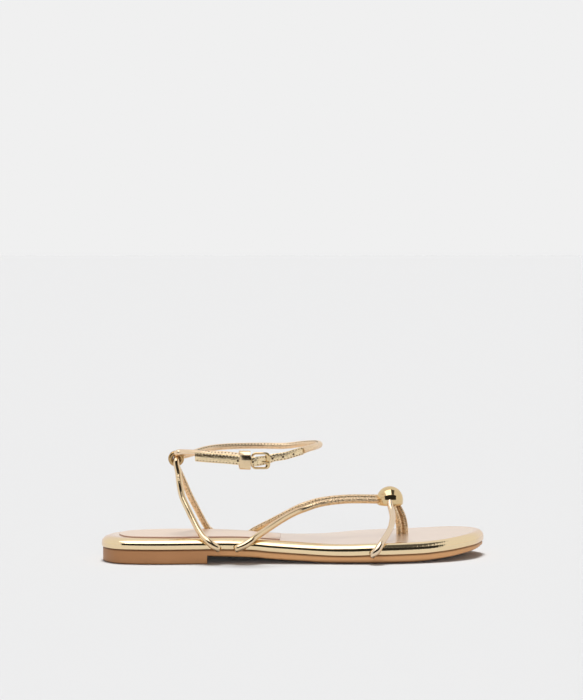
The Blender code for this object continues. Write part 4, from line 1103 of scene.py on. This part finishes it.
def pillowed_strap(name, line, half_depth, half_width, columns=56):
    """A padded strap on edge, carried along the line. Its section is half_depth and half_width times the
    cosine and the sine of the turn, each to the power FACE_POWER, so its faces are domed and its edges are
    round."""
    tangent = unit(np.gradient(line, axis=0))
    up_way = unit(np.array((0, 0, 1.0)) - tangent * tangent[:, 2:3])
    side = np.cross(tangent, up_way)
    turn = np.linspace(0.0, 2 * math.pi, columns, endpoint=False)
    a = np.sign(np.cos(turn)) * abs(np.cos(turn)) ** FACE_POWER * half_depth
    b = np.sign(np.sin(turn)) * abs(np.sin(turn)) ** FACE_POWER
    rise = up_way[:, None] * (half_width[:, None] * b)[..., None]
    places = line[:, None] + side[:, None] * a[None, :, None] + rise
    along = distances(line)
    run = np.concatenate([[0.0], along, along[-1:]])
    return grid_mesh(name, with_ends(line, places), along=run, sharp=50.0), tangent, up_way, side, along


share = np.linspace(0.0, 1.0, len(billet_line))
half_width = (STRAP_HALF_WIDTH_TAIL + (STRAP_HALF_WIDTH_FRONT - STRAP_HALF_WIDTH_TAIL)
              * np.clip((share - NARROWING) / NARROWING_LENGTH, 0, 1))
billet_mesh, tangent, up_way, side, along = pillowed_strap("ankle_strap_billet_leather", billet_line,
                                                           STRAP_HALF_DEPTH, half_width)
add_piece(billet_mesh, billet_gold, ["ankle_strap_billet"])
print("billet", round(float(along[-1]), 1), "mm long")

# %% Stitches and holes of the billet
STITCH_ROW = 0.72                           # height of a row of stitches, as a share of the half width
HOLE_ROW, HOLE_SIZE = -0.12, (1.5, 1.5, 0.22)
HOLE_PLACES = (85.9, 95.2, 107.9, 114.6, 121.0)


def on_billet(at, turn_share):
    """Places, forward ways and outward ways on the billet's outer face, at distances along it. turn_share is
    the height as a share of its half width: the face's depth there is that of its section, and its outward
    way is square to the section."""
    centre, way_along, way_up, way_out = picked(at, along, billet_line, tangent, up_way, side)
    out = unit(way_out) * np.sign(-way_out[:, 1:2])
    half = np.interp(at, along, half_width)[:, None]
    turn = np.arcsin(np.sign(turn_share) * np.abs(turn_share) ** (1 / FACE_POWER))
    seat = centre + out * STRAP_HALF_DEPTH * np.cos(turn) ** FACE_POWER + unit(way_up) * half * turn_share
    away = out * np.cos(turn) ** (2 - FACE_POWER) / STRAP_HALF_DEPTH + unit(way_up) * np.sin(turn) / half
    return seat, unit(way_along), unit(away)


at = np.arange(1.0, along[-1] - 0.8, STITCH_PITCH)
for edge_name, height in (("upper", STITCH_ROW), ("lower", -STITCH_ROW)):
    for kind, shift, size, material in (("stitches", 0.0, (1.4, 0.6, 0.30), pale_thread),
                                        ("needle_holes", STITCH_PITCH / 2, (0.8, 0.72, 0.22), needle_hole_shade)):
        marks = bars("billet_" + edge_name + "_" + kind, *on_billet(at + shift, height), *size)
        add_piece(marks, material)
# The punched holes are dark discs of painted shade.
hole_at = np.array([along[np.argmin(abs(billet_line[:, 0] - x))] for x in HOLE_PLACES])
holes = bars("billet_holes", *on_billet(hole_at, HOLE_ROW), *HOLE_SIZE, columns=12)
add_piece(holes, needle_hole_shade)

# %% Frame of the buckle
FRAME_WIRE, FRAME_BAR_SWELL = 0.72, 0.85    # half thickness of the wire, and how much wider its bar is
SWELL_START, SWELL_LENGTH = 2.6, 1.4        # where the wider bar starts, back from the frame's front


def rounded_loop(length, height, corners, steps=12):
    """A rectangle whose corners are quarter ellipses. corners has the length and height of each quarter, from
    the front upper one round by the rear upper one."""
    quarter = np.linspace(0.0, math.pi / 2, steps)
    out = []
    for number, ((a, b), (long, tall)) in enumerate(zip(((1, 1), (-1, 1), (-1, -1), (1, -1)), corners)):
        turn = quarter + number * math.pi / 2
        out.append(np.stack([a * (length / 2 - long) + long * np.cos(turn),
                             b * (height / 2 - tall) + tall * np.sin(turn)], 1))
    return np.vstack(out)


path = rounded_loop(BUCKLE_LENGTH - 2 * BUCKLE_WIRE, BUCKLE_HEIGHT - 2 * BUCKLE_WIRE,
                    [(BUCKLE_CORNER, BUCKLE_CORNER)] * 4)
run_way = unit(np.roll(path, -1, 0) - np.roll(path, 1, 0))
out_way = np.stack([run_way[:, 1], -run_way[:, 0]], 1)
thin = np.linspace(0.0, 2 * math.pi, 20, endpoint=False)
at_bar = np.clip((path[:, 0] - BUCKLE_LENGTH / 2 + SWELL_START) / SWELL_LENGTH, 0.0, 1.0)
swell = FRAME_WIRE * (1 + FRAME_BAR_SWELL * at_bar)
flat = path[:, None] + out_way[:, None] * swell[:, None, None] * np.cos(thin)[None, :, None]
frame_depth = FRAME_WIRE * np.sin(thin)[None] + 0.0 * flat[..., 0]
frame_wire = np.stack([buckle[0] + flat[..., 0], buckle[1] + frame_depth, buckle[2] + flat[..., 1]], -1)
buckle_frame = grid_mesh("buckle_frame_plated", np.concatenate([frame_wire, frame_wire[:1]]))
add_piece(buckle_frame, plated, ["buckle_frame"])

# %% Prong
tip_y = buckle[1] - EYE
prong_rows = [(REAR_BAR + EYE * math.cos(a), buckle[1] + EYE * math.sin(a), buckle[2])
              for a in np.radians((20, 60, 100, 140, 180, 220, 250))]
prong_rows += [(REAR_BAR + EYE, tip_y, buckle[2]), (buckle[0], tip_y - 0.2, buckle[2] - 0.2),
               (FRONT_BAR - 1.6, tip_y - 0.5, buckle[2] - 0.9),
               (FRONT_BAR - 0.4, tip_y - 0.6, buckle[2] - 1.1),
               (FRONT_BAR + 0.5, tip_y - 0.2, buckle[2] - 0.9)]
prong = tube("buckle_prong_plated", sized(prong_rows, PRONG_WIRE + 0.15), (0.0, 0.0, 1.0), crease=0.0,
             groove=0.0, sides=20, step=0.2)
add_piece(prong.mesh, plated, ["buckle_prong"])

# %% Leather loop
KEEPER_WIDTH, KEEPER_HEIGHT, KEEPER_WALL = 6.8, 11.8, 0.8
KEEPER_CORNERS = ((2.4, 2.4), (3.6, 6.2), (2.0, 2.2), (2.4, 2.4))
KEEPER_PLACE = 0.452                        # share of the ankle loop's length
KEEPER_DROP, KEEPER_SLACK = 0.216, 0.5      # drop as a share of the billet's width, and room in its depth
KEEPER_BEVEL = 0.15
OUTER_BANDS, INNER_BANDS = (-0.5, -0.46, 0.46, 0.5), (0.5, -0.5)    # shares of its width

keeper_run = spline(np.vstack([loop_outer, (REAR_BAR, buckle[1], buckle[2])]))
keeper_x = RING_CENTRE[0] + KEEPER_PLACE * LOOP_LENGTH
i = int(np.argmin(abs(keeper_run[:, 0] - keeper_x)))
keeper_out = unit(outward_of(keeper_run)[i])
keeper_centre = (keeper_run[i] + keeper_out * (BILLET_THICKNESS + CORD_CLEARANCE) / 2
                 - (0, 0, BILLET_WIDTH * KEEPER_DROP))
run_x, run_y, _ = keeper_run[i + 3] - keeper_run[i - 3]
slope = run_y / run_x
depth = 2 * CORD_RADIUS + BILLET_THICKNESS + 4 * CORD_CLEARANCE + 2 * KEEPER_WALL + KEEPER_SLACK
outside = rounded_loop(depth, KEEPER_HEIGHT, KEEPER_CORNERS, steps=18)
inside = rounded_loop(depth - 2 * KEEPER_WALL, KEEPER_HEIGHT - 2 * KEEPER_WALL,
                      np.array(KEEPER_CORNERS) - KEEPER_WALL, steps=18)
bands = []
for section, ends, bevel in ((outside, OUTER_BANDS, KEEPER_BEVEL), (inside, INNER_BANDS, 0.0)):
    for end in ends:
        size = section * (1 - (bevel if abs(end) == 0.5 else 0.0) / (KEEPER_HEIGHT / 2))
        ahead = end * KEEPER_WIDTH
        bands.append(np.column_stack([np.full(len(size), keeper_x + ahead),
                                      keeper_centre[1] + size[:, 0] + ahead * slope,
                                      keeper_centre[2] + size[:, 1]]))
bands.append(bands[0])
keeper = grid_mesh("keeper_loop_leather", np.array(bands), along=np.arange(len(bands), dtype=float),
                   sharp=35.0)
add_piece(keeper, cord_finish("keeper_gold", CORD_GOLD, 0.15), ["keeper_loop"])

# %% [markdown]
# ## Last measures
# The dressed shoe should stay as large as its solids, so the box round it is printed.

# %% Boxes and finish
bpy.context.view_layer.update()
low, high = ([round(c, 4) for c in corner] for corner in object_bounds())
print("dressed from", low, "to", high)
